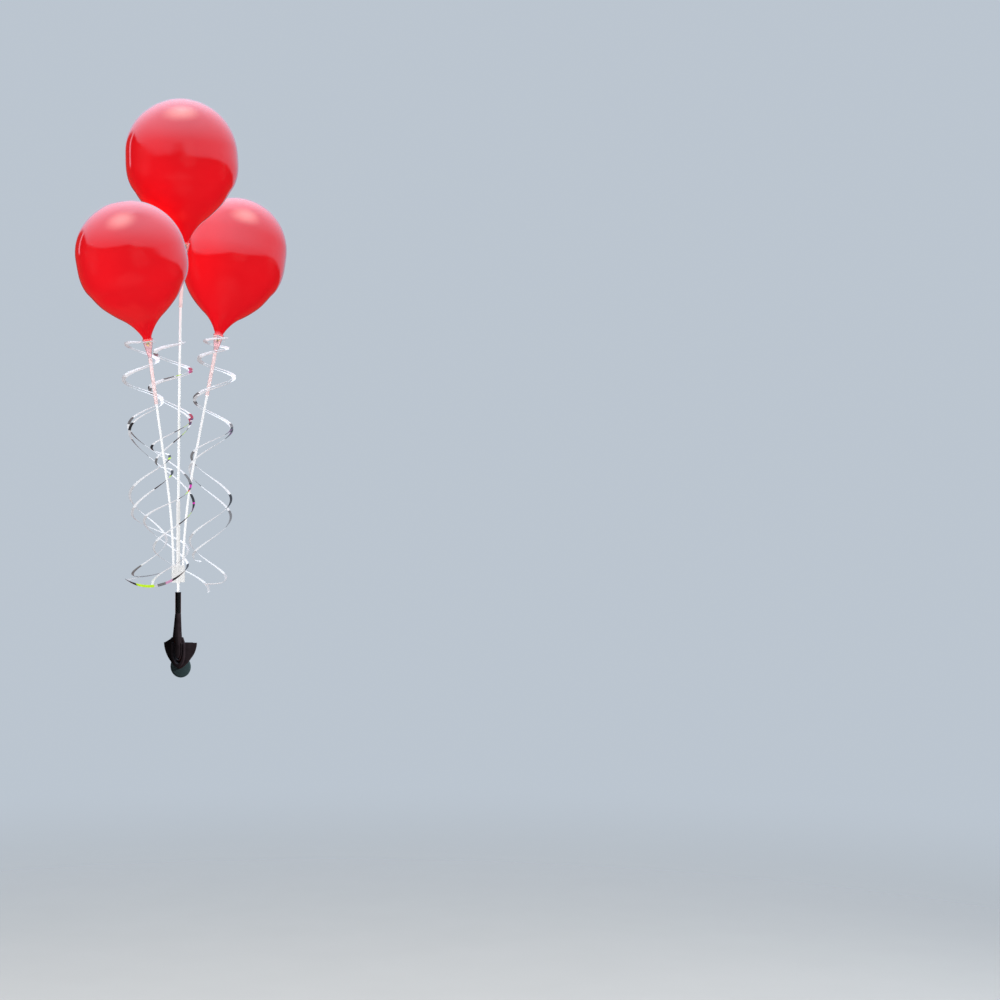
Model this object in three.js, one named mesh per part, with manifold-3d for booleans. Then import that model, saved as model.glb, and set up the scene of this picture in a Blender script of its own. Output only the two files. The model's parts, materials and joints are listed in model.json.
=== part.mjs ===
// Car window balloon display: a clip on the window glass, a pole in its socket, two side sticks in a hub,
// three balloons on clear cups, and foil swirls. Millimetres, +Z up, -Y out of the car, +X along the glass.
// The origin is the middle of the clip's slot, where its roof rests on the top edge of the glass.
import * as THREE from "three";
import { mergeVertices } from "three/addons/utils/BufferGeometryUtils.js";
import Module from "manifold-3d";

const wasm = await Module();
wasm.setup();

const GAP = 0.3; // running and seating clearance between pieces
const WELD = 1e-3; // corners nearer than this become one
const REACH = 1; // how far joined pieces reach into one another, and cuts past a face
// Sides of round pieces and steps of curves
const SIDES = { pad: 32, large: 24, small: 16, rod: 8, tie: 20, tieCord: 6 };
const STEPS = { outline: 8, bow: 16, hole: 12, rod: 20, hubEnd: 8 };

// Glass hook: an outer jaw, a roof and a narrower round-ended tongue inside the car
const SLOT = 5.5; // width of the slot for the glass
const JAW = { thick: 2.95, depth: 20, half: 30 };
const TONGUE = { thick: 3, depth: 45, half: 20 };
const ROOF = 2.4; // level with the shield's top edge

// All heights from here on are measured from a level this far above the top edge of the glass
const LIFT = 6;

// Shield: a plate bowed out in the middle, whose wings reach back beside the hook to the glass
const SHIELD = { top: ROOF - LIFT, tip: -70, halfWidth: 45, bow: -14, front: -6.2, back: -6, wingBack: -3.2 };
const WING_START = { inner: 32, outer: 36 }; // half widths between which the back steps to the wings
// Handles of the shield's side curve, as shares of its half width and of the tip's depth
const SIDE_CURVE = { upper: [0.98, 0.5], lower: [0.36, 0.9] };
const SOCKET_Y = -19; // the socket's axis stands this far outside the glass

// Tongues on the shield, one on the other, with a groove round each inner one
const TONGUES = [
  { half: 17.4, top: -4, bottom: -67, front: -22 },
  { half: 11, top: -4, bottom: -49.5, front: -22.5 },
  { half: 7, top: 8, bottom: -42, front: -24 },
];
const GROOVES = [
  { half: 14, bottom: -56.5, floor: -12 },
  { half: 9.2, bottom: -46, floor: -14 },
];
const SHOULDER = {
  front: -14,
  outline: [[-42, -4.6], [-31, 1.5], [-25, 5], [-20, 10], [9, 10], [13.8, -4.6]],
};

// Post: a round cone, whose lower rows are radius and height, and a ridge in front of it that widens
// downwards. The ridge's sections give the corners of its right half, as X and distance from the
// socket's axis.
const POST = { top: 70.7, radius: 7.2, lower: [[0, -12], [3.8, -10], [7.6, 6], [9.3, 14]] };
const RIDGE = {
  base: 12,
  foot: -14,
  topScale: 0.56,
  baseSection: [[4.7, -10], [13.1, -4.5], [7, 5]],
  footSection: [[4.5, -4.5], [6.5, 0], [6.5, 8]],
};

// Clear pad behind the shield's tip
const PAD = {
  radius: 28,
  thick: 2.6,
  edge: 1.3,
  flat: 16.8,
  z: -64.5,
  neckRadius: 3,
  neckLength: 2.4,
  boreDepth: 3,
};

// Glossy socket tube, with a shank that turns in the post. Its floor is above the post's top.
const TUBE = { radius: 7.2, top: 124.5, shankRadius: 4.6, shankLength: 20, floor: 73 };

// Pole, hub and sticks
const POLE = { radius: 3.3, joint: 250, tubeRadius: 4.8, tubeTop: 353, tubeBottom: 146 };
const STICK_RADIUS = 3;
const HUB = { bottom: 149, top: 192, centreRadius: 7.2, armRadius: 4.9, slack: 0.8 };

// The cluster is turned this far in its socket. Its own axes are across, depth and height.
const CLUSTER_TURN = 15;
// Sticks: where each leaves the hub or the pole's joint, the bend's corner, where the straight upper
// stretch starts, and its end at the cup's rim, as across, depth, height
const STICKS = {
  top: { foot: [0, 0, 250.3], bend: [0.5, 0, 600], straight: [5.5, -2, 852], rim: [16, -8, 1006] },
  left: {
    foot: [-9.5, -11, 152],
    bend: [-9.5, -11, 280],
    straight: [-23.7, -27.2, 406],
    rim: [-64.4, -74, 756.4],
  },
  right: {
    foot: [10, 11, 152],
    bend: [10, 11, 306],
    straight: [34.3, 38.7, 458.4],
    rim: [86, 97, 784],
  },
};

// Cups, sleeves and plugs
const CUP = { length: 48, rimRadius: 13.8, rim: 1, footRadius: 4.6, floor: 4, wall: 1.2 };
const SLEEVE = { length: 115, radius: 4.6 };
const PLUG = { stemRadius: 4.9, stem: 12, headRadius: 5.6, head: 15, taper: 0.6 };

// Balloons: radius, height of the crown above the centre and length from the centre to the cup's rim, and
// the direction from the rim to the centre, as across, depth, height
const BALLOONS = {
  top: { radius: 140, crown: 140.5, neck: 219.3, lean: [-6, -9, 219] },
  left: { radius: 134.4, crown: 133.5, neck: 209.2, lean: [-33, -42, 202.4] },
  right: { radius: 136.2, crown: 137.5, neck: 242.2, lean: [29.9, 71, 229.6] },
};
const NECK = { radius: 11, inCup: 4, length: 4, bore: 5.4, boreTop: 9, shoulder: 10 };
const WALL = 10; // stand-in thickness of the balloon's skin
// Outline of the skin between neck and middle, on a balloon of the first number's radius: distance below the
// centre and radius, outside and inside. The first row is NECK.shoulder above the cup's rim on each balloon.
const OUTLINE = {
  radius: 140,
  outside: [
    [209, 13.5],
    [200, 18.6],
    [184.7, 29.7],
    [169.3, 44.6],
    [153.9, 64.4],
    [138.5, 82],
    [123, 97.3],
    [107.7, 108.7],
    [92.4, 118],
    [76.9, 128.2],
    [61.5, 134.7],
    [46, 138.5],
    [28, 140.4],
  ],
  inside: [[184.7, 18], [153.9, 52], [123, 86], [92.4, 107.5], [61.5, 124], [28, 130]],
  domeSteps: 6,
};

// Ties of the swirls: small cord rings, each with its centre as across, depth, height
const TIE_THICK = 1;
const TIES = {
  top: { centre: [4, -1.2, 757], ring: 4.65 },
  left: { centre: [-63.6, -73.1, 749.5], ring: 14.1 },
  right: { centre: [84.9, 95.8, 777.2], ring: 14.1 },
};

// Foil swirls: each row is a turning point of the strip, as across, height, depth, how far the strip bows
// out on its way to the next one, as a share of half the distance, and how far it sags there, where it does.
// The strip winds down from right to left in front and from left to right behind.
const FOIL = { width: 9.5, thick: 0.8, stepsPerHalfTurn: 9 };
const SWIRLS = {
  swirl_left_a: [
    [-83, 749.2, -73, 1], [-117, 743, -72, 0.8], [-40, 704, -68, 0.7], [-125, 656, -66, 0.7],
    [-30, 605, -58, 0.7], [-115, 535, -50, 0.7], [34, 390, -18, 0.7], [-84, 299, -8, 1],
    [24, 188, -4, 0.5, 24], [-131, 157, -4, 0.7], [-98, 164, -4, 0],
  ],
  swirl_left_b: [
    [-83.3, 747, -73, 1], [-117, 740, -72, 0.8], [-40, 700, -68, 0.7], [-125, 651, -66, 0.7],
    [-30, 598, -58, 0.7], [-113, 520, -50, 0.6], [42, 344, -18, 0.5], [-60, 232, -8, 0.7], [77, 124, -2, 0],
  ],
  swirl_pole_a: [
    [14.9, 757, -1, 0.7], [-59, 730, 0, 0.7], [31, 684, 0, 0.7], [-73, 636, 0, 0.7], [34, 561, 0, 0.45],
    [-66, 488, -10, 1], [-14, 460, -46, 0.7], [-118, 363, -20, 0.7], [-28, 252, -10, 0.7],
    [-114, 168, -4, 0.7], [-48, 172, -4, 0],
  ],
  swirl_pole_b: [
    [14.9, 754.6, -1, 0.7], [-59, 725, 0, 0.7], [31, 679, 0, 0.7], [-72, 631, 0, 0.7], [30, 551, 0, 0.4],
    [-55, 452, -10, 1], [-8, 422, -44, 0.7], [-112, 317, -20, 1.15], [25, 226, -6, 0.6], [-64, 142, -4, 0],
  ],
  swirl_right_a: [
    [107, 776, 95.8, 0.9], [51, 768, 96, 0.9], [109, 750, 94, 0.8], [36, 722, 92, 0.8], [128, 674, 86, 0.7],
    [27, 616, 78, 0.7], [125, 541, 66, 0.7], [26, 464, 42, 0.7], [128, 355, 34, 0.7], [26, 250, 20, 0.7],
    [119, 158, 8, 0.5], [70, 143, 6, 0],
  ],
  swirl_right_b: [
    [107, 774.7, 95.8, 0.9], [51, 765, 96, 0.9], [109, 746, 94, 0.8], [36, 717, 92, 0.8], [128, 668, 86, 0.7],
    [27, 610, 78, 0.7], [125, 534, 66, 0.7], [22, 431, 38, 0.7], [128, 311, 30, 0.6], [34, 215, 22, 0.7],
    [52, 200, 24, 0],
  ],
};

// Colours and finishes
const FINISH = {
  blackPlastic: { color: 0x141112, roughness: 0.5 },
  glossBlack: { color: 0x060606, roughness: 0.12 },
  whitePlastic: { color: 0xf1f1ee, roughness: 0.35 },
  clearPlastic: { color: 0xf3c9c9, roughness: 0.1, transparent: true, opacity: 0.35 },
  clearPad: { color: 0x8fa39f, roughness: 0.15, transparent: true, opacity: 0.5 },
  redVinyl: { color: 0xd9141c, roughness: 0.12 },
  plugGreen: { color: 0x4a5a1c, roughness: 0.4 },
  tieSilver: { color: 0xb9b9bd, roughness: 0.3, metalness: 0.8 },
  foil: { color: 0xd6d6da, roughness: 0.18, metalness: 0.9 },
};

const materials = Object.fromEntries(
  Object.entries(FINISH).map(([name, look]) => [name, new THREE.MeshStandardMaterial(look)]),
);
const group = new THREE.Group();
const display = new THREE.Group();
display.position.z = LIFT;
group.add(display);
const cluster = new THREE.Group();
cluster.position.y = SOCKET_Y;
cluster.rotation.z = THREE.MathUtils.degToRad(CLUSTER_TURN);
display.add(cluster);

function addPiece(parent, name, geometry, finish) {
  const mesh = new THREE.Mesh(geometry, materials[finish]);
  mesh.name = name;
  parent.add(mesh);
  return mesh;
}

const vector = ([x, y, z]) => new THREE.Vector3(x, y, z);

// A closed geometry as a solid that can be joined and cut
function solidOf(geometry) {
  const plain = geometry.index ? geometry.toNonIndexed() : geometry.clone();
  plain.deleteAttribute("normal");
  plain.deleteAttribute("uv");
  const merged = mergeVertices(plain, WELD);
  const mesh = new wasm.Mesh({
    numProp: 3,
    vertProperties: merged.attributes.position.array,
    triVerts: new Uint32Array(merged.index.array),
  });
  return new wasm.Manifold(mesh);
}

function geometryOf(solid) {
  const mesh = solid.getMesh();
  return new THREE.BufferGeometry()
    .setAttribute("position", new THREE.BufferAttribute(new Float32Array(mesh.vertProperties), 3))
    .setIndex(new THREE.BufferAttribute(new Uint32Array(mesh.triVerts), 1))
    .toNonIndexed();
}

// A round piece about its own +Y, from a profile of radius and height pairs
const turned = (profile, sides) =>
  new THREE.LatheGeometry(profile.map(([radius, height]) => new THREE.Vector2(radius, height)), sides);

// Stands a round piece at a point, with its +Y along a direction
function stand(mesh, point, direction) {
  mesh.position.copy(point);
  mesh.quaternion.setFromUnitVectors(new THREE.Vector3(0, 1, 0), direction);
}

// A plate in the plane of the glass, from a shape in X and Z, between two places along Y
function plate(shape, front, back) {
  const geometry = new THREE.ExtrudeGeometry(shape, {
    depth: back - front,
    bevelEnabled: false,
    curveSegments: STEPS.outline,
  });
  return geometry.rotateX(Math.PI / 2).translate(0, back, 0);
}

// Shield outline: straight top, sides that curve in to a rounded tip
function shieldShape() {
  const { halfWidth, top, tip } = SHIELD;
  const [upperX, upperZ] = [SIDE_CURVE.upper[0] * halfWidth, SIDE_CURVE.upper[1] * tip];
  const [lowerX, lowerZ] = [SIDE_CURVE.lower[0] * halfWidth, SIDE_CURVE.lower[1] * tip];
  const shape = new THREE.Shape();
  shape.moveTo(-halfWidth, top);
  shape.bezierCurveTo(-upperX, upperZ, -lowerX, lowerZ, 0, tip);
  shape.bezierCurveTo(lowerX, lowerZ, upperX, upperZ, halfWidth, top);
  shape.closePath();
  return shape;
}

// The shield's level section, bowed out in front and stepped at the back
function bowedSlab() {
  const { halfWidth, bow, front, back, wingBack, tip, top } = SHIELD;
  const { inner, outer } = WING_START;
  const side = halfWidth + REACH;
  const shape = new THREE.Shape();
  shape.moveTo(-side, wingBack);
  shape.lineTo(-side, front);
  shape.quadraticCurveTo(0, 2 * bow - front, side, front);
  shape.lineTo(side, wingBack);
  shape.lineTo(outer, wingBack);
  shape.lineTo(inner, back);
  shape.lineTo(-inner, back);
  shape.lineTo(-outer, wingBack);
  shape.closePath();
  const geometry = new THREE.ExtrudeGeometry(shape, {
    depth: top - tip + 2 * REACH,
    bevelEnabled: false,
    curveSegments: STEPS.bow,
  });
  return geometry.translate(0, 0, tip - REACH);
}

// A tongue with a straight top and a rounded lower end
function tongueShape(half, top, bottom) {
  const shape = new THREE.Shape();
  shape.moveTo(-half, top);
  shape.lineTo(-half, bottom + 2 * half);
  shape.bezierCurveTo(-half, bottom + half, -0.5 * half, bottom, 0, bottom);
  shape.bezierCurveTo(0.5 * half, bottom, half, bottom + half, half, bottom + 2 * half);
  shape.lineTo(half, top);
  shape.closePath();
  return shape;
}

const tongueSolid = ({ half, top, bottom, front }) =>
  solidOf(plate(tongueShape(half, top, bottom), front, SHIELD.back - REACH));

// A closed ridge in front of the post, from two sections given by the corners of their right half
function ridgePart(lower, lowerZ, upper, upperZ) {
  const pair = (x, y, z) => [
    [x, SOCKET_Y + y, z],
    [-x, SOCKET_Y + y, z],
  ];
  return wasm.Manifold.hull([
    ...lower.flatMap(([x, y]) => pair(x, y, lowerZ)),
    ...upper.flatMap(([x, y]) => pair(x, y, upperZ)),
  ]);
}

function makePost() {
  const { top, radius, lower } = POST;
  const cone = turned([...lower, [radius, top], [0, top]], SIDES.large);
  const topSection = RIDGE.baseSection.map(([x, y]) => [x * RIDGE.topScale, y * RIDGE.topScale]);
  return solidOf(cone.rotateX(Math.PI / 2).translate(0, SOCKET_Y, 0))
    .add(ridgePart(RIDGE.baseSection, RIDGE.base, topSection, top))
    .add(ridgePart(RIDGE.footSection, RIDGE.foot, RIDGE.baseSection, RIDGE.base));
}

function makeClipBody() {
  const { back, bow } = SHIELD;
  const shoulderShape = new THREE.Shape(SHOULDER.outline.map(([x, z]) => new THREE.Vector2(x, z)));
  const [outer, inner, spine] = TONGUES;
  const outline = solidOf(plate(shieldShape(), bow - REACH, 0));
  let body = solidOf(bowedSlab()).intersect(outline).add(tongueSolid(outer));
  // Each groove follows the tongue that stands inside it
  [inner, spine].forEach((tongue, i) => {
    const { half, bottom, floor } = GROOVES[i];
    const groove = plate(tongueShape(half, 0, bottom), spine.front - REACH, floor);
    body = body.subtract(solidOf(groove)).add(tongueSolid(tongue));
  });
  body = body.add(solidOf(plate(shoulderShape, SHOULDER.front, back))).add(makePost());
  const shankBore = turned(
    [
      [0, POST.top - TUBE.shankLength - GAP],
      [TUBE.shankRadius + 2 * GAP, POST.top - TUBE.shankLength - GAP],
      [TUBE.shankRadius + 2 * GAP, POST.top + REACH],
      [0, POST.top + REACH],
    ],
    SIDES.large,
  );
  body = body.subtract(solidOf(shankBore.rotateX(Math.PI / 2).translate(0, SOCKET_Y, 0)));
  const neckBoreRadius = PAD.neckRadius + GAP;
  const neckBore = new THREE.CylinderGeometry(neckBoreRadius, neckBoreRadius, 2 * PAD.boreDepth, SIDES.small);
  body = body.subtract(solidOf(neckBore.translate(0, back, PAD.z)));
  addPiece(display, "clip_body", geometryOf(body), "blackPlastic");
}

function makeHook() {
  const inside = SLOT / 2;
  const front = -inside - JAW.thick;
  const back = inside + TONGUE.thick;
  const block = (blockBack, bottom, top) =>
    new THREE.BoxGeometry(2 * JAW.half, blockBack - front, top - bottom)
      .translate(0, (front + blockBack) / 2, (bottom + top) / 2);
  const hook = solidOf(block(back, 0, ROOF))
    .add(solidOf(block(-inside, -JAW.depth, REACH)))
    .add(solidOf(plate(tongueShape(TONGUE.half, REACH, -TONGUE.depth), inside, back)));
  addPiece(group, "glass_hook", geometryOf(hook), "blackPlastic");
}

function makePad() {
  const { radius, thick, edge, flat, neckRadius, neckLength } = PAD;
  const padProfile = [
    [0, 0],
    [radius, 0],
    [radius, edge],
    [flat, thick],
    [neckRadius, thick],
    [neckRadius, thick + neckLength],
    [0, thick + neckLength],
  ];
  const pad = addPiece(display, "suction_pad", turned(padProfile, SIDES.pad), "clearPad");
  stand(pad, new THREE.Vector3(0, -SLOT / 2, PAD.z), new THREE.Vector3(0, -1, 0));
}

function makeSocketTube() {
  const { top, shankRadius, shankLength, floor } = TUBE;
  const bore = POLE.radius + 2 * GAP;
  const seat = POST.top + GAP;
  const tubeProfile = [
    [0, POST.top - shankLength],
    [shankRadius, POST.top - shankLength],
    [shankRadius, seat],
    [TUBE.radius, seat],
    [TUBE.radius, top],
    [bore, top],
    [bore, floor],
    [0, floor],
  ];
  const tube = addPiece(display, "socket_tube", turned(tubeProfile, SIDES.large), "glossBlack");
  tube.rotation.x = Math.PI / 2;
  tube.position.y = SOCKET_Y;
}

// A round rod along a path
function rod(path, radius) {
  const section = new THREE.Shape(
    Array.from({ length: SIDES.rod }, (_, i) => {
      const angle = (i / SIDES.rod) * 2 * Math.PI;
      return new THREE.Vector2(radius * Math.cos(angle), radius * Math.sin(angle));
    }),
  );
  return new THREE.ExtrudeGeometry(section, { extrudePath: path, steps: STEPS.rod, bevelEnabled: false });
}

// A stick's bent path up to the foot of its cup
function stickPath({ foot, bend, straight, rim }) {
  const start = vector(straight);
  const end = vector(rim);
  const direction = end.clone().sub(start).normalize();
  end.addScaledVector(direction, -CUP.length - GAP);
  const path = new THREE.CurvePath();
  path.add(new THREE.QuadraticBezierCurve3(vector(foot), vector(bend), start));
  path.add(new THREE.LineCurve3(start, end));
  return { path, end, direction };
}

function makePole() {
  const { radius, joint, tubeRadius, tubeTop, tubeBottom } = POLE;
  const lower = new THREE.CylinderGeometry(radius, radius, joint - TUBE.floor - GAP, SIDES.small);
  const pole = addPiece(cluster, "pole_lower", lower.rotateX(Math.PI / 2), "whitePlastic");
  pole.position.z = (joint + TUBE.floor + GAP) / 2;
  const bore = radius + 2 * GAP;
  const tubeProfile = [
    [bore, tubeBottom],
    [tubeRadius, tubeBottom],
    [tubeRadius, tubeTop],
    [bore, tubeTop],
    [bore, tubeBottom],
  ];
  addPiece(cluster, "pole_tube", turned(tubeProfile, SIDES.small).rotateX(Math.PI / 2), "whitePlastic");

  const { bottom, top, centreRadius, armRadius, slack } = HUB;
  const feet = [STICKS.left.foot, STICKS.right.foot];
  const outline = [];
  feet.forEach(([x, y]) => {
    const facing = Math.atan2(y, x);
    for (let i = 0; i <= STEPS.hubEnd; i++) {
      const angle = facing + (i / STEPS.hubEnd - 1 / 2) * Math.PI;
      outline.push(new THREE.Vector2(x + armRadius * Math.cos(angle), y + armRadius * Math.sin(angle)));
    }
    const side = facing + Math.PI / 2;
    outline.push(new THREE.Vector2(centreRadius * Math.cos(side), centreRadius * Math.sin(side)));
  });
  const hub = new THREE.Shape(outline);
  const hole = (x, y, r) => hub.holes.push(new THREE.Path().absarc(x, y, r, 0, 2 * Math.PI, true));
  hole(0, 0, tubeRadius + 2 * GAP);
  feet.forEach(([x, y]) => hole(x, y, STICK_RADIUS + slack));
  const hubGeometry = new THREE.ExtrudeGeometry(hub, {
    depth: top - bottom,
    bevelEnabled: false,
    curveSegments: STEPS.hole,
  });
  addPiece(cluster, "stick_hub", hubGeometry.translate(0, 0, bottom), "whitePlastic");
}

// One arm: stick, sleeve, cup, balloon and plug
function makeArm(side) {
  const { path, end, direction } = stickPath(STICKS[side]);
  const rim = vector(STICKS[side].rim);
  const stickName = side === "top" ? "pole_upper" : "stick_" + side;
  const radius = side === "top" ? POLE.radius : STICK_RADIUS;
  addPiece(cluster, stickName, rod(path, radius), "whitePlastic");

  const sleeveBore = radius + 2 * GAP;
  const sleeveProfile = [
    [sleeveBore, -SLEEVE.length],
    [SLEEVE.radius, -SLEEVE.length],
    [SLEEVE.radius, -GAP],
    [sleeveBore, -GAP],
    [sleeveBore, -SLEEVE.length],
  ];
  const sleeve = addPiece(cluster, "sleeve_" + side, turned(sleeveProfile, SIDES.small), "clearPlastic");
  stand(sleeve, end, direction);

  const { length, rimRadius, footRadius, floor, wall } = CUP;
  const cupProfile = [
    [0, -length],
    [footRadius, -length],
    [rimRadius, -CUP.rim],
    [rimRadius, 0],
    [rimRadius - wall, 0],
    [footRadius - wall, floor - length],
    [0, floor - length],
  ];
  const cup = addPiece(cluster, "cup_" + side, turned(cupProfile, SIDES.large), "clearPlastic");
  stand(cup, rim, direction);

  const shape = BALLOONS[side];
  const lean = vector(shape.lean).normalize();
  const skin = turned(balloonProfile(shape), SIDES.large);
  const balloon = addPiece(cluster, "balloon_" + side, skin, "redVinyl");
  stand(balloon, rim, lean);

  const { stemRadius, stem, headRadius, head, taper } = PLUG;
  const face = -NECK.inCup - GAP;
  const plugProfile = [
    [0, face - head],
    [taper * headRadius, face - head],
    [headRadius, face - taper * head],
    [headRadius, face],
    [stemRadius, face],
    [stemRadius, face + stem],
    [0, face + stem],
  ];
  const plug = addPiece(cluster, "plug_" + side, turned(plugProfile, SIDES.small), "plugGreen");
  stand(plug, rim, lean);
}

// The balloon's skin about its own axis, from the neck's end up over the crown and back inside
function balloonProfile({ radius, crown, neck }) {
  const scale = radius / OUTLINE.radius;
  const stretch = (neck - NECK.shoulder) / OUTLINE.outside[0][0];
  const placed = (rows) => rows.map(([below, r]) => [r * scale, neck - below * stretch]);
  const dome = (r, h) =>
    Array.from({ length: OUTLINE.domeSteps + 1 }, (_, i) => {
      const angle = (i / OUTLINE.domeSteps) * (Math.PI / 2);
      return [i === OUTLINE.domeSteps ? 0 : r * Math.cos(angle), neck + h * Math.sin(angle)];
    });
  return [
    [NECK.bore, -NECK.inCup],
    [NECK.radius, -NECK.inCup],
    [NECK.radius, NECK.length],
    ...placed(OUTLINE.outside),
    ...dome(radius, crown),
    ...dome(radius - WALL, crown - WALL).reverse(),
    ...placed(OUTLINE.inside).reverse(),
    [NECK.bore, NECK.boreTop],
    [NECK.bore, -NECK.inCup],
  ];
}

// The course of a foil strip between its turning points: each half turn is a half ellipse seen from above
class SwirlPath extends THREE.Curve {
  constructor(turns) {
    super();
    this.arcLengthDivisions = 400;
    this.across = turns.map(([across]) => across);
    this.bulge = turns.map(([, , , bulge]) => bulge);
    this.sag = turns.map(([, , , , sag]) => sag ?? 0);
    this.drop = new THREE.CatmullRomCurve3(
      turns.map(([, height, depth]) => new THREE.Vector3(0, depth, height)),
      false,
      "catmullrom",
      0.5,
    );
  }

  getPoint(t, target = new THREE.Vector3()) {
    const last = this.across.length - 1;
    const turn = Math.min(Math.floor(t * last), last - 1);
    const angle = (t * last - turn) * Math.PI;
    const [from, to] = [this.across[turn], this.across[turn + 1]];
    this.drop.getPoint(t, target);
    target.x = (from + to) / 2 + ((from - to) / 2) * Math.cos(angle);
    target.y += ((this.bulge[turn] * (to - from)) / 2) * Math.sin(angle);
    target.z -= this.sag[turn] * Math.sin(angle) ** 2;
    return target;
  }

  // The strip's width points away from the middle of its turn, and stays level
  computeFrenetFrames(segments) {
    const frames = { tangents: [], normals: [], binormals: [] };
    for (let i = 0; i <= segments; i++) {
      const tangent = this.getTangentAt(i / segments);
      const normal = new THREE.Vector3(-tangent.y, tangent.x, 0).normalize();
      frames.tangents.push(tangent);
      frames.normals.push(normal);
      frames.binormals.push(tangent.clone().cross(normal));
    }
    return frames;
  }
}

function makeSwirls() {
  const { width, thick, stepsPerHalfTurn } = FOIL;
  const section = new THREE.Shape([
    new THREE.Vector2(-width / 2, -thick / 2),
    new THREE.Vector2(width / 2, -thick / 2),
    new THREE.Vector2(width / 2, thick / 2),
    new THREE.Vector2(-width / 2, thick / 2),
  ]);
  for (const [name, turns] of Object.entries(SWIRLS)) {
    const geometry = new THREE.ExtrudeGeometry(section, {
      extrudePath: new SwirlPath(turns),
      steps: stepsPerHalfTurn * (turns.length - 1),
      bevelEnabled: false,
    });
    addPiece(cluster, name, geometry, "foil");
  }
}

function makeTies() {
  for (const [side, { centre, ring }] of Object.entries(TIES)) {
    const geometry = new THREE.TorusGeometry(ring, TIE_THICK, SIDES.tieCord, SIDES.tie).rotateX(Math.PI / 2);
    const tie = addPiece(cluster, "tie_" + side, geometry, "tieSilver");
    const { straight, rim } = STICKS[side];
    const direction = side === "top" ? [0, 0, 1] : vector(rim).sub(vector(straight)).toArray();
    stand(tie, vector(centre), vector(direction).normalize());
  }
}

makeClipBody();
makeHook();
makePad();
makeSocketTube();
makePole();
Object.keys(STICKS).forEach(makeArm);
makeTies();
makeSwirls();

export default group;
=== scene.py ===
# Car window balloon display: three balloons on clear cups, sticks in a hub, foil swirls, and a clip for the
# window glass. Metres. The cluster above the clip has axes of its own: across, depth and height.
import json
from math import atan2, cos, hypot, pi, radians, sin, sqrt

import bpy
from mathutils import Matrix, Vector, noise

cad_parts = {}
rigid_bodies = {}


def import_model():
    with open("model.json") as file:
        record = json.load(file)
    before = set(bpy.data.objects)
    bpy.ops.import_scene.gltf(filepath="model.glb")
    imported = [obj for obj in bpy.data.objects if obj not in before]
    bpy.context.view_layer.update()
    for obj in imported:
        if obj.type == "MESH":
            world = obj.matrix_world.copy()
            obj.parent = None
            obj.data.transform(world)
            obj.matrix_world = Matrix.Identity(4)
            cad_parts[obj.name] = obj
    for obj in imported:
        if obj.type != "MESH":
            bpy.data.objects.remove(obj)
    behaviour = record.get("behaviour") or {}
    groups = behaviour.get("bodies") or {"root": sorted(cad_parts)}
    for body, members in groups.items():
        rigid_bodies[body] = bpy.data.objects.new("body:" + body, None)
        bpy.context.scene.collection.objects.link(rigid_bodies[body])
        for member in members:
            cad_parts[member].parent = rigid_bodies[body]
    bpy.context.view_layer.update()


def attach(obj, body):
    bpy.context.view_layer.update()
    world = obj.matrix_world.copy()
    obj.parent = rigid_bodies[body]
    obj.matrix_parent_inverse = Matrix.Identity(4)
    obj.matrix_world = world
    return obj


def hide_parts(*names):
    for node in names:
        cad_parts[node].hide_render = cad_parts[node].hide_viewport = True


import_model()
print("frame loaded")

# Heights are measured from a level this far above the edge of the glass. The cluster is turned in its socket.
place = {"lift": 0.006, "socketY": -0.019, "clusterTurn": 15}
gap = 0.0003  # between pieces that touch
slack = 0.0006  # round a rod in its bore
clipPlace = Matrix.Translation((0, 0, place["lift"]))
socketPlace = Matrix.Translation((0, place["socketY"], place["lift"]))
clusterPlace = socketPlace @ Matrix.Rotation(radians(place["clusterTurn"]), 4, "Z")

camera = {"place": (1.961, -4.199, 0.312), "pitch": 90.64, "turn": 15, "lens": 64.8, "sensor": 36}
cameraTurn = (radians(camera["pitch"]), 0, radians(camera["turn"]))
bpy.ops.object.camera_add(location=camera["place"], rotation=cameraTurn)
bpy.context.scene.camera = bpy.context.object
bpy.context.object.data.lens = camera["lens"]
bpy.context.object.data.sensor_width = camera["sensor"]
bpy.context.scene.view_settings.view_transform = "Standard"  # keeps the red saturated
print("camera placed")


# Working helpers
def deselect():
    bpy.ops.object.select_all(action="DESELECT")


def activate(piece):
    deselect()
    piece.select_set(True)
    bpy.context.view_layer.objects.active = piece


def placed(**settings):
    # The primitive that was just added, with its settings and place in its mesh
    piece = bpy.context.object
    for name, value in settings.items():
        setattr(piece, name, value)
    bpy.ops.object.transform_apply()
    return piece


def editAll(piece):
    # Edit mode, with all of the piece selected
    activate(piece)
    bpy.ops.object.mode_set(mode="EDIT")
    bpy.ops.mesh.select_all(action="SELECT")


def leaveEdit():
    bpy.ops.object.mode_set(mode="OBJECT")


def drawUp(rise):
    bpy.ops.mesh.extrude_region_move(TRANSFORM_OT_translate={"value": (0, 0, rise)})


def applyModifier(piece, kind, **settings):
    activate(piece)
    modifier = piece.modifiers.new(kind, kind)
    for name, value in settings.items():
        setattr(modifier, name, value)
    bpy.ops.object.modifier_apply(modifier=modifier.name)


def bevelEdges(piece, width, angle=50):
    applyModifier(piece, "BEVEL", width=width, segments=2, limit_method="ANGLE", angle_limit=radians(angle))


def combine(piece, tool, operation="UNION"):
    applyModifier(piece, "BOOLEAN", object=tool, operation=operation, solver="EXACT")
    bpy.data.objects.remove(tool)


def applyPlace(piece, matrix):
    activate(piece)
    piece.matrix_world = matrix
    bpy.ops.object.transform_apply()


def mergeAndFaceOut(piece):
    editAll(piece)
    bpy.ops.mesh.remove_doubles(threshold=1e-6)
    bpy.ops.mesh.normals_make_consistent(inside=False)
    leaveEdit()


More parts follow.
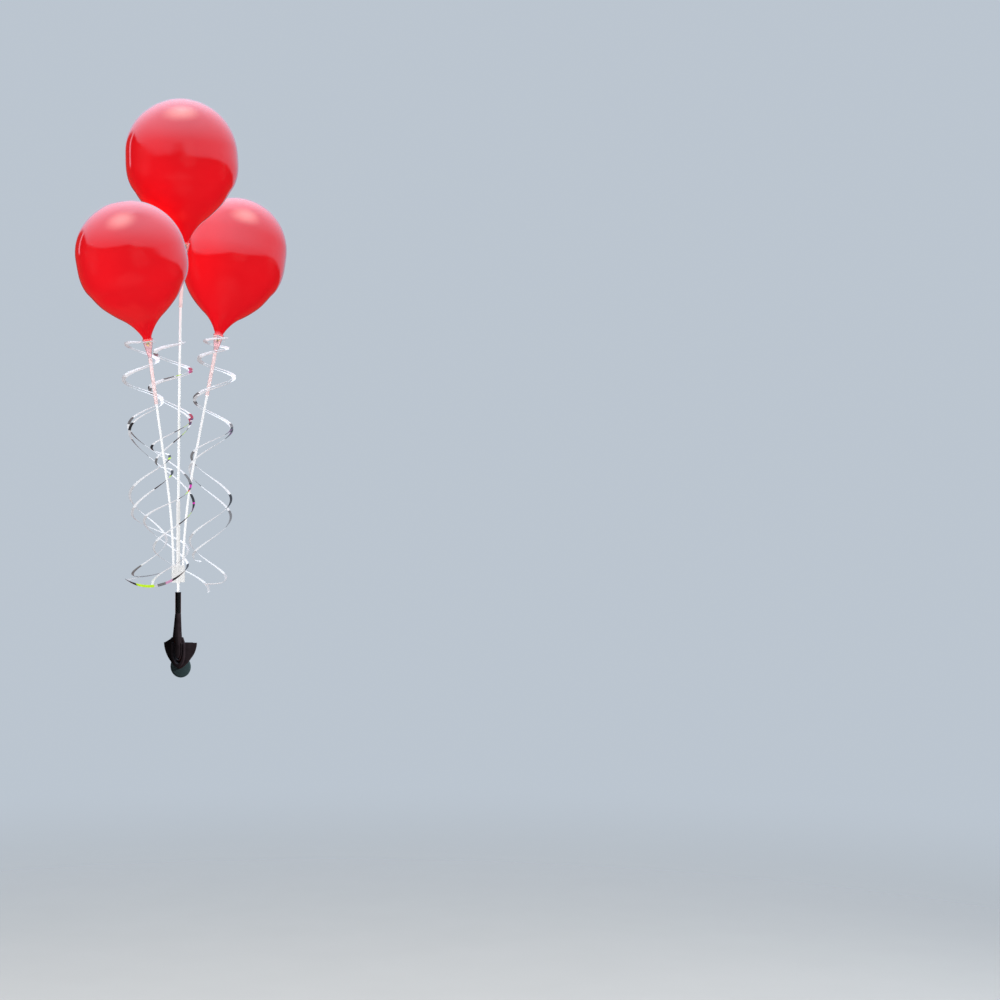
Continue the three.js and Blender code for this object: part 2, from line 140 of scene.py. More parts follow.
def finishPiece(piece, body, nodeName, material, angle):
    piece.data.materials.clear()
    piece.data.materials.append(material)
    activate(piece)
    bpy.ops.object.shade_smooth_by_angle(angle=radians(angle))
    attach(piece, body)
    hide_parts(nodeName)
    piece.visible_glossy = False  # the skins mirror the sky alone


def between(points, t):
    # Smooth course through a list of vectors: t counts the points
    index = min(int(t), len(points) - 2)
    share = t - index
    start, end = points[index], points[index + 1]
    before = points[index - 1] if index else 2 * start - end
    after = points[index + 2] if index + 2 < len(points) else 2 * end - start
    leave, arrive = (end - before) / 2, (after - start) / 2
    return (
        start
        + leave * share
        + (3 * (end - start) - 2 * leave - arrive) * share**2
        + (2 * (start - end) + leave + arrive) * share**3
    )


# Foil swirls. Each row is a turning point of the strip: across, height, depth, how far it bows out
# on its way to the next one, as a share of half the distance, and how far it sags there, where it does.
foil = {
    "wide": 0.0095, "thick": 0.0003, "crown": 0.0004, "stations": 20, "courseStep": 0.01, "wander": 0.9,
    "wanderApart": (50, 100), "rollNoise": 8, "sagRoll": 1100, "sagWidth": 0.12,
}
foilRoll = [(0.62, 11), (0.45, 17), (0.20, 22)]  # the strip's tilt in degrees at some heights
foilWidth = [(0.70, 0.0095), (0.60, 0.0070), (0.20, 0.0062)]  # its width, pulled longer lower down
swirlTurns = {
    "swirl_left_a": [
        (-0.083, 0.7492, -0.073, 1), (-0.117, 0.743, -0.072, 0.8), (-0.040, 0.704, -0.068, 0.7),
        (-0.125, 0.656, -0.066, 0.7), (-0.030, 0.605, -0.058, 0.7), (-0.115, 0.535, -0.050, 0.7),
        (0.034, 0.390, -0.018, 0.7), (-0.084, 0.299, -0.008, 1), (0.024, 0.188, -0.004, 0.5, 0.024),
        (-0.131, 0.157, -0.004, 0.7), (-0.098, 0.164, -0.004, 0),
    ],
    "swirl_left_b": [
        (-0.0833, 0.747, -0.073, 1), (-0.117, 0.740, -0.072, 0.8), (-0.040, 0.700, -0.068, 0.7),
        (-0.125, 0.651, -0.066, 0.7), (-0.030, 0.598, -0.058, 0.7), (-0.113, 0.520, -0.050, 0.6),
        (0.042, 0.344, -0.018, 0.5), (-0.060, 0.232, -0.008, 0.7), (0.077, 0.124, -0.002, 0),
    ],
    "swirl_pole_a": [
        (0.0149, 0.757, -0.001, 0.7), (-0.059, 0.730, 0, 0.7), (0.031, 0.684, 0, 0.7),
        (-0.073, 0.636, 0, 0.7), (0.034, 0.561, 0, 0.45), (-0.066, 0.488, -0.010, 1),
        (-0.014, 0.460, -0.046, 0.7), (-0.118, 0.363, -0.020, 0.7), (-0.028, 0.252, -0.010, 0.7),
        (-0.114, 0.168, -0.004, 0.7), (-0.048, 0.172, -0.004, 0),
    ],
    "swirl_pole_b": [
        (0.0149, 0.7546, -0.001, 0.7), (-0.059, 0.725, 0, 0.7), (0.031, 0.679, 0, 0.7),
        (-0.072, 0.631, 0, 0.7), (0.030, 0.551, 0, 0.4), (-0.055, 0.452, -0.010, 1),
        (-0.008, 0.422, -0.044, 0.7), (-0.112, 0.317, -0.020, 1.15), (0.025, 0.226, -0.006, 0.6),
        (-0.064, 0.142, -0.004, 0),
    ],
    "swirl_right_a": [
        (0.107, 0.776, 0.0958, 0.9), (0.051, 0.768, 0.096, 0.9), (0.109, 0.750, 0.094, 0.8),
        (0.036, 0.722, 0.092, 0.8), (0.128, 0.674, 0.086, 0.7), (0.027, 0.616, 0.078, 0.7),
        (0.125, 0.541, 0.066, 0.7), (0.026, 0.464, 0.042, 0.7), (0.128, 0.355, 0.034, 0.7),
        (0.026, 0.250, 0.020, 0.7), (0.119, 0.158, 0.008, 0.5), (0.070, 0.143, 0.006, 0),
    ],
    "swirl_right_b": [
        (0.107, 0.7747, 0.0958, 0.9), (0.051, 0.765, 0.096, 0.9), (0.109, 0.746, 0.094, 0.8),
        (0.036, 0.717, 0.092, 0.8), (0.128, 0.668, 0.086, 0.7), (0.027, 0.610, 0.078, 0.7),
        (0.125, 0.534, 0.066, 0.7), (0.022, 0.431, 0.038, 0.7), (0.128, 0.311, 0.030, 0.6),
        (0.034, 0.215, 0.022, 0.7), (0.052, 0.200, 0.024, 0),
    ],
}


def swirlPoint(turns, t):
    index = min(int(t), len(turns) - 2)
    angle = (t - index) * pi
    start, end, bulge = turns[index][0], turns[index + 1][0], turns[index][3]
    sag = sum(turns[index][4:])
    height, depth = between([Vector(row[1:3]) for row in turns], t)
    across = (start + end) / 2 + (start - end) / 2 * cos(angle)
    depth += bulge * (end - start) / 2 * sin(angle)
    return Vector((across, depth, height - sag * sin(angle) ** 2))


def makeStrip(name, stations):
    # A closed ribbon. Each station is its centre, the way across it, its face's direction and its count.
    rows = [(share, 0.5) for share in (-0.5, -0.25, 0, 0.25, 0.5)]
    rows += [(share, -0.5) for share, level in reversed(rows)]
    corners = []
    for centre, side, face, count in stations:
        for share, level in rows:
            bow = foil["crown"] * (1 - 4 * share * share)
            corners.append(centre + side * share + face * (bow + level * foil["thick"]))
    ring = len(rows)
    faces = [
        (i * ring + j, i * ring + (j + 1) % ring, (i + 1) * ring + (j + 1) % ring, (i + 1) * ring + j)
        for i in range(len(stations) - 1)
        for j in range(ring)
    ]
    last = (len(stations) - 1) * ring
    faces += [tuple(reversed(range(ring))), tuple(range(last, last + ring))]
    mesh = bpy.data.meshes.new(name)
    mesh.from_pydata(corners, [], faces)
    counts = mesh.attributes.new("turnCount", "FLOAT", "POINT")
    counts.data.foreach_set("value", [count for *_, count in stations for _ in rows])
    layer = mesh.uv_layers.new(name="UVMap")
    for loop in mesh.loops:
        station, row = divmod(loop.vertex_index, ring)
        layer.data[loop.index].uv = (station / foil["stations"], rows[row][0] + 0.5)
    strip = bpy.data.objects.new(name, mesh)
    bpy.context.collection.objects.link(strip)
    return strip


def valueAt(height, table):
    (top, value), *others = table
    for low, lowValue in others:
        if height > low:
            return value + (lowValue - value) * min(1, max(0, (top - height) / (top - low)))
        top, value = low, lowValue
    return value


def makeSwirl(node, turns):
    # The strip lies level along its turns, with its outer edge a little lower
    last, step = len(turns) - 1, foil["courseStep"]
    noiseY, noiseZ = (start * apart for start, apart in zip(turns[0], foil["wanderApart"]))
    stations = []
    for i in range(foil["stations"] * last + 1):
        t = i / foil["stations"]
        centre = swirlPoint(turns, t)
        course = (swirlPoint(turns, min(t + step, last)) - swirlPoint(turns, max(t - step, 0))).normalized()
        outward = Vector((-course.y, course.x, 0)).normalized()
        wander = noise.noise(Vector((t * foil["wander"], len(turns) + noiseY, noiseZ)))
        sagging = sum(turns[min(int(t), last - 1)][4:]) * sin(t % 1 * pi)
        tilt = valueAt(centre.z, foilRoll) + foil["rollNoise"] * wander + foil["sagRoll"] * sagging
        width = valueAt(centre.z, foilWidth) + foil["sagWidth"] * sagging
        side = Matrix.Rotation(radians(tilt), 3, course) @ outward
        stations.append((centre, side * width, side.cross(course).normalized(), t))
    swirl = makeStrip("foil" + node.replace("_", " ").title().replace(" ", ""), stations)
    swirl.data.transform(clusterPlace)
    mergeAndFaceOut(swirl)
    return swirl


swirls = {node: makeSwirl(node, turns) for node, turns in swirlTurns.items()}
print("swirls made")


# Materials. A node is fed with values, outputs, and nodes, which stand for their first output.
def feedNode(tree, node, feeds):
    for name, value in feeds.items():
        if isinstance(value, bpy.types.Node):
            value = value.outputs[0]
        if isinstance(value, bpy.types.NodeSocket):
            tree.links.new(value, node.inputs[name])
        else:
            node.inputs[name].default_value = value


def addNode(tree, kind, feeds, **settings):
    node = tree.nodes.new("ShaderNode" + kind)
    for name, value in settings.items():
        setattr(node, name, value)
    feedNode(tree, node, feeds)
    return node


def newMaterial(name):
    material = bpy.data.materials.new(name)
    material.use_nodes = True
    return material, material.node_tree, material.node_tree.nodes["Principled BSDF"]


def addMapping(tree, centre=(0, 0, 0), stretch=(1, 1, 1)):
    shift = [-c * s for c, s in zip(centre, stretch)]
    vector = addNode(tree, "TexCoord", {}).outputs["Object"]
    return addNode(tree, "Mapping", {"Vector": vector, "Location": shift, "Scale": stretch})


def addNoise(tree, vector, scale, detail, roughness=0.5):
    feeds = {"Vector": vector, "Scale": scale, "Detail": detail, "Roughness": roughness}
    return addNode(tree, "TexNoise", feeds)


def addRamp(tree, value, stops, blend="LINEAR"):
    ramp = addNode(tree, "ValToRGB", {"Fac": value})
    ramp.color_ramp.interpolation = blend
    elements = ramp.color_ramp.elements
    while len(elements) < len(stops):
        elements.new(1)
    for element, (position, colour) in zip(elements, stops):
        element.position = position
        element.color = (*colour, 1) if hasattr(colour, "__len__") else (colour, colour, colour, 1)
    return ramp


def addBump(tree, value, strength, distance):
    return addNode(tree, "Bump", {"Height": value, "Strength": strength, "Distance": distance})


def calculate(tree, operation, *values):
    return addNode(tree, "Math", dict(enumerate(values)), operation=operation)


def mapRange(tree, value, low, high, toLow=0, toHigh=1):
    feeds = {"Value": value, "From Min": low, "From Max": high, "To Min": toLow, "To Max": toHigh}
    return addNode(tree, "MapRange", feeds, interpolation_type="SMOOTHSTEP")


foilLook = {
    "crinkle": (150, 2), "raggedEnds": 0.004, "relief": (0.1, 0.0006),
    "sockets": {"Metallic": 0.05, "Roughness": 0.4, "Specular IOR Level": 0.3},
}
# The foil's white, and the colours of the painted reflections and painted shade laid along it
foilColoursWithPaintedLight = {
    "white": (0.80, 0.82, 0.86),
    "silver": (0.52, 0.53, 0.56),
    "grey": (0.17, 0.17, 0.18),
    "black": (0.022, 0.022, 0.025),
    "crimson": (0.34, 0.002, 0.035),
    "red": (0.55, 0.006, 0.025),
    "magenta": (0.56, 0.03, 0.38),
    "pink": (0.58, 0.28, 0.45),
    "mauve": (0.32, 0.17, 0.21),
    "plum": (0.10, 0.025, 0.09),
    "lime": (0.50, 0.78, 0.02),
}
# Stretches of colour along each strip, which starts white: the turn count where one begins, and its colour.
# Only the white is the foil's own tone: the silver, grey and black stretches are painted shade and painted
# reflections of dark surroundings, and the coloured ones painted reflections of coloured surroundings.
foilPaintedReflectionsAndShade = {
    "swirl_left_a": (
        "0.7 silver 1.2 white 2.8 silver 3.2 white 4.7 grey 4.9 white 5.06 grey 5.14 black 5.3 white "
        "5.78 grey 5.9 black 5.97 magenta 6.02 black 6.06 red 6.12 lime 6.18 black 6.32 white 6.8 silver "
        "7.3 white 7.9 black 8.3 pink 8.38 grey 8.45 black 8.475 silver 8.5 lime 8.68 black "
        "9.1 silver 10 white"
    ),
    "swirl_left_b": (
        "0.8 silver 1.2 white 2.8 silver 3.2 white 4.72 black 4.92 silver 5.08 grey 5.32 white 5.84 black "
        "5.94 magenta 5.99 black 6.04 plum 6.1 black 6.15 lime 6.24 black 6.4 white 6.8 silver 7.4 white "
        "7.8 silver 8 white"
    ),
    "swirl_pole_a": (
        "0.9 grey 0.98 mauve 1.1 silver 1.2 white 1.8 crimson 2.06 magenta 2.14 white 2.28 lime 2.36 white "
        "2.42 grey 2.56 white 2.86 black 3.16 white 3.8 crimson 3.96 plum 4.04 white 4.1 black 4.16 lime "
        "4.28 black 4.44 white 4.86 black 5.2 white 5.8 black 5.96 lime 6.03 black 6.2 white 6.75 silver "
        "7.3 white 7.8 silver 8.2 white 8.6 grey"
    ),
    "swirl_pole_b": (
        "0.92 grey 1 mauve 1.1 white 1.9 crimson 2.04 white 2.86 grey 3.14 white 3.84 crimson 3.98 plum "
        "4.05 white 4.12 black 4.2 lime 4.3 black 4.48 white 4.86 grey 5.2 white 5.82 black 6.06 lime "
        "6.12 white 6.2 black 6.42 white 6.8 silver 7.3 white 7.8 silver 8.3 white"
    ),
    "swirl_right_a": (
        "0.8 silver 1.25 white 2.8 silver 3.2 white 4.76 grey 4.98 black 5.12 white 5.84 grey 5.94 black "
        "6.04 plum 6.16 black 6.26 white 6.8 grey 7.2 white 7.84 black 8.2 white 8.8 silver 9.3 white "
        "9.8 silver 10.2 white"
    ),
    "swirl_right_b": (
        "0.8 silver 1.25 white 2.8 silver 3.2 white 4.8 silver 5 grey 5.14 white 5.9 black 6.02 plum "
        "6.12 black 6.24 white 6.8 silver 7.2 black 7.34 white 7.84 grey 8.24 white 8.8 silver 9.3 white"
    ),
}


def foilMaterial(node):
    turns = len(swirlTurns[node]) - 1
    material, tree, shader = newMaterial("foil " + node.replace("_", " "))
    count = addNode(tree, "Attribute", {}, attribute_name="turnCount").outputs["Fac"]
    share = calculate(tree, "DIVIDE", count, turns)
    crinkle = addNoise(tree, addMapping(tree), *foilLook["crinkle"])
    shifted = calculate(tree, "MULTIPLY_ADD", crinkle, foilLook["raggedEnds"], share)
    # The ramp lays the painted reflections and painted shade along the strip by turn count
    words = ["0", "white", *foilPaintedReflectionsAndShade[node].split()]
    stops = [(float(start) / turns, foilColoursWithPaintedLight[colour]) for start, colour in zip(words[::2], words[1::2])]
    feedNode(tree, shader, {
        "Base Color": addRamp(tree, shifted, stops, "CONSTANT"),
        "Normal": addBump(tree, crinkle, *foilLook["relief"]),
        **foilLook["sockets"],
    })
    return material


for node, swirl in swirls.items():
    finishPiece(swirl, "cluster", node, foilMaterial(node), 60)
print("foil coloured")

# Noises are given as scale and detail, ramps as stops, and relief as a bump's strength and distance
vinyl = {
    "cloud": (1.6, 2), "cloudShare": 0.25, "from": -1.5, "to": 1.2, "gloss": (5, 4), "swell": (3, 2),
    "colour": [(0, (0.76, 0.006, 0.012)), (0.35, (0.80, 0.008, 0.014)), (1, (0.82, 0.010, 0.016))],
    "roughness": [(0.3, 0.07), (0.7, 0.12)], "relief": (0.12, 0.002),
    "sockets": {"IOR": 1.7, "Coat Weight": 0.6, "Coat Roughness": 0.05, "Coat IOR": 1.6},
}
specks = {
    "scale": 330, "relief": (0.2, 0.0005), "roughness": 0.35,
    "colour": [
        (0, (0.03, 0.05, 0.02)), (0.35, (0.16, 0.30, 0.04)), (0.55, (0.55, 0.55, 0.06)),
        (0.7, (0.20, 0.06, 0.25)), (0.82, (0.42, 0.42, 0.38)),
    ],
}
# Finishes with one grain for colour and roughness, and for relief where that has none of its own. A stretched
# grain makes upright draw lines on the white rod and tube, and the pale upright streaks on the gloss black
# tube, which are painted highlights.
drawn = {"grain": (260, 2), "stretch": (1, 1, 0.04), "relief": (0.04, 0.0003)}
hazy = {"grain": (90, 3), "relief": (0.02, 0.0003)}
grainLooks = {
    "white rod": {
        **drawn, "colour": [(0.25, (0.81, 0.819, 0.837)), (0.6, (0.90, 0.91, 0.93))],
        "roughness": [(0.2, 0.32), (0.8, 0.44)],
    },
    "white tube": {
        **drawn, "colour": [(0.25, (0.684, 0.684, 0.684)), (0.6, (0.76, 0.76, 0.76))],
        "roughness": [(0.2, 0.38), (0.8, 0.50)],
    },
    "clear cup": {
        **hazy, "colour": [(0.3, (0.95, 0.68, 0.69)), (0.7, (0.9625, 0.76, 0.7675))],
        "roughness": [(0.2, 0.08), (0.8, 0.12)], "sockets": {"Transmission Weight": 0.9, "IOR": 1.2},
    },
    "clear sleeve": {
        **hazy, "colour": [(0.3, (0.74, 0.60, 0.60)), (0.7, (0.805, 0.70, 0.70))],
        "roughness": [(0.2, 0.25), (0.8, 0.375)], "sockets": {"Transmission Weight": 0.55, "IOR": 1.2},
    },
    "gloss black painted highlights": {
        # The grey upright streaks in this colour are painted highlights on the black tube
        "grain": (420, 3), "stretch": (1, 1, 0.012), "relief": (0.12, 0.0003),
        "colour": [
            (0.45, (0.0012, 0.0012, 0.0014)), (0.60, (0.006, 0.006, 0.0065)), (0.72, (0.03, 0.03, 0.033)),
        ],
        "roughness": [(0.3, 0.08), (0.7, 0.22)], "sockets": {"IOR": 1.6},
    },
    "moulded black": {
        "grain": (45, 4), "reliefGrain": (1400, 2), "relief": (0.25, 0.0002),
        "colour": [(0.3, (0.0055, 0.0038, 0.0045)), (0.7, (0.0100, 0.0074, 0.0086))],
        "roughness": [(0.2, 0.46), (0.8, 0.60)], "sockets": {"Specular IOR Level": 0.03},
    },
    "soft pad": {
        "grain": (35, 3), "relief": (0.05, 0.0003),
        "colour": [(0.3, (0.019, 0.032, 0.034)), (0.7, (0.023, 0.038, 0.041))],
        "roughness": [(0.2, 0.30), (0.8, 0.45)], "sockets": {"Transmission Weight": 0.12, "IOR": 1.4},
    },
    "tie foil": {
        "grain": (500, 3), "relief": (0.4, 0.0004),
        "colour": [(0.3, (0.60, 0.60, 0.62)), (0.7, (0.88, 0.88, 0.90))],
        "roughness": [(0, 0.35), (1, 0.35)], "sockets": {"Metallic": 0.3},
    },
}


def redVinyl(name, centre, radius):
    # A little deeper at the neck
    material, tree, shader = newMaterial(name)
    vector = addMapping(tree, centre, (1 / radius,) * 3)
    height = addNode(tree, "SeparateXYZ", {0: vector}).outputs["Z"]
    cloud = addNoise(tree, vector, *vinyl["cloud"])
    level = calculate(tree, "MULTIPLY_ADD", cloud, vinyl["cloudShare"], height)
    share = mapRange(tree, level, vinyl["from"], vinyl["to"])
    feedNode(tree, shader, {
        "Base Color": addRamp(tree, share, vinyl["colour"]),
        "Roughness": addRamp(tree, addNoise(tree, vector, *vinyl["gloss"]), vinyl["roughness"]),
        "Normal": addBump(tree, addNoise(tree, vector, *vinyl["swell"]), *vinyl["relief"]),
        **vinyl["sockets"],
    })
    return material


def speckledPlug(name):
    material, tree, shader = newMaterial(name)
    cells = addNode(tree, "TexVoronoi", {"Vector": addMapping(tree), "Scale": specks["scale"]}).outputs
    share = addNode(tree, "SeparateColor", {"Color": cells["Color"]}).outputs["Red"]
    feedNode(tree, shader, {
        "Base Color": addRamp(tree, share, specks["colour"], "CONSTANT"),
        "Normal": addBump(tree, cells["Distance"], *specks["relief"]),
        "Roughness": specks["roughness"],
    })
    return material


def grainFinish(name):
    look = grainLooks[name]
    material, tree, shader = newMaterial(name)
    vector = addMapping(tree, stretch=look.get("stretch", (1, 1, 1)))
    grain = addNoise(tree, vector, *look["grain"])
    relief = addNoise(tree, vector, *look["reliefGrain"]) if "reliefGrain" in look else grain
    feedNode(tree, shader, {
        "Base Color": addRamp(tree, grain, look["colour"]),
        "Roughness": addRamp(tree, grain, look["roughness"]),
        "Normal": addBump(tree, relief, *look["relief"]),
        **look.get("sockets", {}),
    })
    return material


finish = {name: grainFinish(name) for name in grainLooks}
finish["speckled plug"] = speckledPlug("speckled plug")
print("materials made")


# Rings drawn out one from the next along +Z, as rows of radius and height. A radius of 0 closes the piece.
def turnedPiece(name, rows, sides, matrix=Matrix.Identity(4)):
    startsClosed = rows[0][0] == 0
    (radius, height), *others = rows[startsClosed:]
    fill = "NGON" if startsClosed else "NOTHING"
    deselect()
    bpy.ops.mesh.primitive_circle_add(vertices=sides, radius=radius, fill_type=fill, location=(0, 0, height))
    piece = placed(name=name)
    editAll(piece)
    for newRadius, newHeight in others:
        if newRadius == 0 and newHeight == height:
            bpy.ops.mesh.edge_face_add()
            break
        drawUp(newHeight - height)
        if newRadius == 0:
            bpy.ops.mesh.merge(type="CENTER")
            break
        factor = newRadius / radius
        bpy.ops.transform.resize(value=(factor, factor, 1), center_override=(0, 0, newHeight))
        radius, height = newRadius, newHeight
    leaveEdit()
    mergeAndFaceOut(piece)
    applyPlace(piece, matrix)
    return piece


def eased(radius, height, inset, rise):
    # Two rows for a softened outer edge, in the order in which they are drawn: a rise below 0 is at a top
    rows = [(radius - inset, height), (radius, height + rise)]
    return rows if rise > 0 else rows[::-1]


def standing(point, direction, matrix=clusterPlace):
    # The place of a turned piece whose own +Z runs along a direction
    turn = Vector((0, 0, 1)).rotation_difference(Vector(direction))
    return matrix @ Matrix.Translation(point) @ turn.to_matrix().to_4x4()


# Sticks: foot, corner of the bend, start of the straight stretch and rim of the cup, as across, depth, height
stick = {"radius": 0.003, "poleRadius": 0.0033, "cupLength": 0.048, "edge": 0.0004}
sticks = {
    "top": [(0, 0, 0.2503), (0.0005, 0, 0.6), (0.0055, -0.002, 0.852), (0.016, -0.008, 1.006)],
    "left": [
        (-0.0095, -0.011, 0.152), (-0.0095, -0.011, 0.28), (-0.0237, -0.0272, 0.406),
        (-0.0644, -0.074, 0.7564),
    ],
    "right": [(0.01, 0.011, 0.152), (0.01, 0.011, 0.306), (0.0343, 0.0387, 0.4584), (0.086, 0.097, 0.784)],
}
sticks = {side: [Vector(point) for point in points] for side, points in sticks.items()}
stickDirection = {side: (points[3] - points[2]).normalized() for side, points in sticks.items()}
cupFoot = {
    side: points[3] - stickDirection[side] * (stick["cupLength"] + gap) for side, points in sticks.items()
}

balloon = {
    "neckRadius": 0.011, "inCup": 0.004, "neckLength": 0.004, "thick": 0.0006, "sides": 96, "perRow": 4,
    "domeRows": 9, "gathers": 11, "gatherDepth": 0.035, "gatherHeight": 0.012, "gatherReach": 0.03,
    "wobble": 0.0022, "wobbleScale": 9, "outlineRadius": 0.14, "outlineStart": 0.01,
}
balloons = {
    "top": {"radius": 0.14, "crown": 0.1405, "neck": 0.2193, "lean": (-0.006, -0.009, 0.219)},
    "left": {"radius": 0.1344, "crown": 0.1335, "neck": 0.2092, "lean": (-0.033, -0.042, 0.2024)},
    "right": {"radius": 0.1362, "crown": 0.1375, "neck": 0.2422, "lean": (0.0299, 0.071, 0.2296)},
}
# Outline between neck and middle on a balloon of the outline's radius: distance below the centre, and radius.
# The first row is the outline's start above the cup's rim on each balloon.
outline = [
    (0.209, 0.0135), (0.200, 0.0186), (0.1847, 0.0297), (0.1693, 0.0446), (0.1539, 0.0644), (0.1385, 0.082),
    (0.123, 0.0973), (0.1077, 0.1087), (0.0924, 0.118), (0.0769, 0.1282), (0.0615, 0.1347), (0.046, 0.1385),
    (0.028, 0.1404),
]


def balloonRows(shape):
    full, crown, neck = shape["radius"], shape["crown"], shape["neck"]
    scale, stretch = full / balloon["outlineRadius"], (neck - balloon["outlineStart"]) / outline[0][0]
    rows = [(balloon["neckRadius"], -balloon["inCup"]), (balloon["neckRadius"], balloon["neckLength"])]
    rows += [(radius * scale, neck - below * stretch) for below, radius in outline]
    for i in range(balloon["domeRows"]):
        angle = i / balloon["domeRows"] * pi / 2
        rows.append((full * cos(angle), neck + crown * sin(angle)))
    rows.append((-rows[-1][0], rows[-1][1]))
    rows = [Vector(row) for row in rows]
    smooth = [between(rows, i / balloon["perRow"]) for i in range((len(rows) - 2) * balloon["perRow"] + 1)]
    return [tuple(row) for row in smooth] + [(0, neck + crown)]


def gatherNeck(piece, shape):
    # Shallow pleats round the neck, and the slight unevenness of a filled skin
    reach = balloon["gatherReach"]
    for corner in piece.data.vertices:
        x, y, z = corner.co
        near = max(0, 1 - abs(z - balloon["gatherHeight"]) / reach) ** 2
        pleat = 1 + balloon["gatherDepth"] * near * cos(balloon["gathers"] * atan2(y, x))
        uneven = noise.noise(corner.co * balloon["wobbleScale"])
        swell = balloon["wobble"] * uneven * min(1, max(0, z / shape["neck"]))
        factor = pleat + swell / max(hypot(x, y), reach)
        corner.co = (x * factor, y * factor, z)


def makeBalloon(side):
    shape = balloons[side]
    rim = sticks[side][3]
    lean = Vector(shape["lean"]).normalized()
    piece = turnedPiece("balloon" + side.title(), balloonRows(shape), balloon["sides"])
    gatherNeck(piece, shape)
    applyModifier(piece, "SOLIDIFY", thickness=balloon["thick"], offset=-1)
    applyPlace(piece, standing(rim, lean))
    centre = clusterPlace @ (rim + lean * shape["neck"])
    material = redVinyl("red vinyl " + side, centre, shape["radius"])
    finishPiece(piece, "balloon_" + side, "balloon_" + side, material, 60)


for side in balloons:
    makeBalloon(side)
print("balloons made")

cup = {
    "rimRadius": 0.0138, "footRadius": 0.0046, "floor": 0.004, "wall": 0.0012, "bead": 0.0026, "sides": 48,
    "edge": 0.0005,
}
sleeve = {
    "length": 0.115, "radius": 0.0046, "flare": 0.0004, "flareLength": 0.003, "flareSlope": 0.001,
    "edge": 0.0003, "sides": 32,
}
plug = {
    "stemRadius": 0.0049, "stem": 0.012, "headRadius": 0.0056, "head": 0.015, "taper": 0.6, "shoulder": 0.8,
    "edge": 0.0006, "groove": 0.0008, "grooveLow": 0.0055, "grooveHigh": 0.003, "grooveSlope": 0.0005,
    "sides": 32,
}


def makeCup(side):
    rim, foot, wall = cup["rimRadius"], cup["footRadius"], cup["wall"]
    low, bead, edge = -stick["cupLength"], -cup["bead"], cup["edge"]
    floor = low + cup["floor"]
    rows = [
        (0, low), *eased(foot, low, edge, edge), (foot + 0.0002, floor), (rim - wall, bead - 0.001),
        *eased(rim, bead, 0.0003, edge), *eased(rim, 0, 0.0004, -0.0006), (rim - wall, 0),
        (rim - wall - 0.0003, -0.0004), (foot - wall, floor), (0, floor),
    ]
    upper = standing(sticks[side][3], stickDirection[side])
    piece = turnedPiece("cup" + side.title(), rows, cup["sides"], upper)
    finishPiece(piece, "cluster", "cup_" + side, finish["clear cup"], 30)


def makeSleeve(side):
    bore = (stick["poleRadius"] if side == "top" else stick["radius"]) + slack
    radius, low, edge, flareTop = sleeve["radius"], -sleeve["length"], sleeve["edge"], sleeve["flareLength"]
    flared = radius + sleeve["flare"]
    rows = [
        (bore, low), *eased(flared, low, edge, 0.0004), (flared, low + flareTop),
        (radius, low + flareTop + sleeve["flareSlope"]), *eased(radius, -gap, edge, -0.0004), (bore, -gap),
        (bore, low),
    ]
    lower = standing(cupFoot[side], stickDirection[side])
    piece = turnedPiece("sleeve" + side.title(), rows, sleeve["sides"], lower)
    finishPiece(piece, "cluster", "sleeve_" + side, finish["clear sleeve"], 30)


def makePlug(side):
    face = -balloon["inCup"] - gap
    head, radius, stem, edge = plug["head"], plug["headRadius"], plug["stemRadius"], plug["edge"]
    taper, shoulder, top = plug["taper"], plug["shoulder"], face + plug["stem"]
    low, high, slope = face - plug["grooveLow"], face - plug["grooveHigh"], plug["grooveSlope"]
    rows = [
        (0, face - head), *eased(taper * radius, face - head, edge, edge),
        (radius * shoulder, face - shoulder * head), (radius, face - taper * head), (radius, low),
        (radius - plug["groove"], low + slope), (radius - plug["groove"], high - slope), (radius, high),
        *eased(radius, face, edge / 2, -0.0004), (stem, face), *eased(stem, top, edge, -edge), (0, top),
    ]
    lean = Vector(balloons[side]["lean"]).normalized()
    piece = turnedPiece("plug" + side.title(), rows, plug["sides"], standing(sticks[side][3], lean))
    finishPiece(piece, "balloon_" + side, "plug_" + side, finish["speckled plug"], 30)


def drawCurve(name, turns, steps):
    # Each turn is a point of the curve, with the handle before it and the handle after it
    deselect()
    bpy.ops.curve.primitive_bezier_curve_add()
    curve = bpy.context.object
    curve.name = name
    curve.data.resolution_u = steps
    points = curve.data.splines[0].bezier_points
    points.add(len(turns) - 2)
    for point, (middle, before, after) in zip(points, turns):
        point.handle_left_type = point.handle_right_type = "FREE"
        point.co, point.handle_left, point.handle_right = middle, before, after
    return curve


def makeStick(side):
    # A curve of three points: the bend's two ends, and the end at the cup's foot
    foot, bend, straight, _ = sticks[side]
    end = cupFoot[side]
    turns = [
        (foot, foot - (bend - foot) / 3, foot + (bend - foot) * 2 / 3),
        (straight, straight + (bend - straight) * 2 / 3, straight + (end - straight) / 3),
        (end, end + (straight - end) / 3, end + (end - straight) / 3),
    ]
    rod = drawCurve("poleUpper" if side == "top" else "stick" + side.title(), turns, 24)
    rod.data.dimensions = "3D"
    rod.data.bevel_depth = stick["poleRadius"] if side == "top" else stick["radius"]
    rod.data.bevel_resolution = 4
    rod.data.use_fill_caps = True
    activate(rod)
    bpy.ops.object.convert(target="MESH")
    mergeAndFaceOut(rod)
    bevelEdges(rod, stick["edge"], 60)
    applyPlace(rod, clusterPlace)
    node = "pole_upper" if side == "top" else "stick_" + side
    finishPiece(rod, "cluster", node, finish["white rod"], 50)


for side in sticks:
    makeCup(side)
    makeSleeve(side)
    makePlug(side)
    makeStick(side)
print("cups, sleeves, plugs and sticks made")

pole = {
    "radius": 0.0033, "joint": 0.25, "bottom": 0.0733, "tubeRadius": 0.0048, "tubeTop": 0.353,
    "tubeBottom": 0.146, "edge": 0.0006, "topEdge": 0.0004, "tubeEdge": 0.0005, "sides": 24, "tubeSides": 32,
}


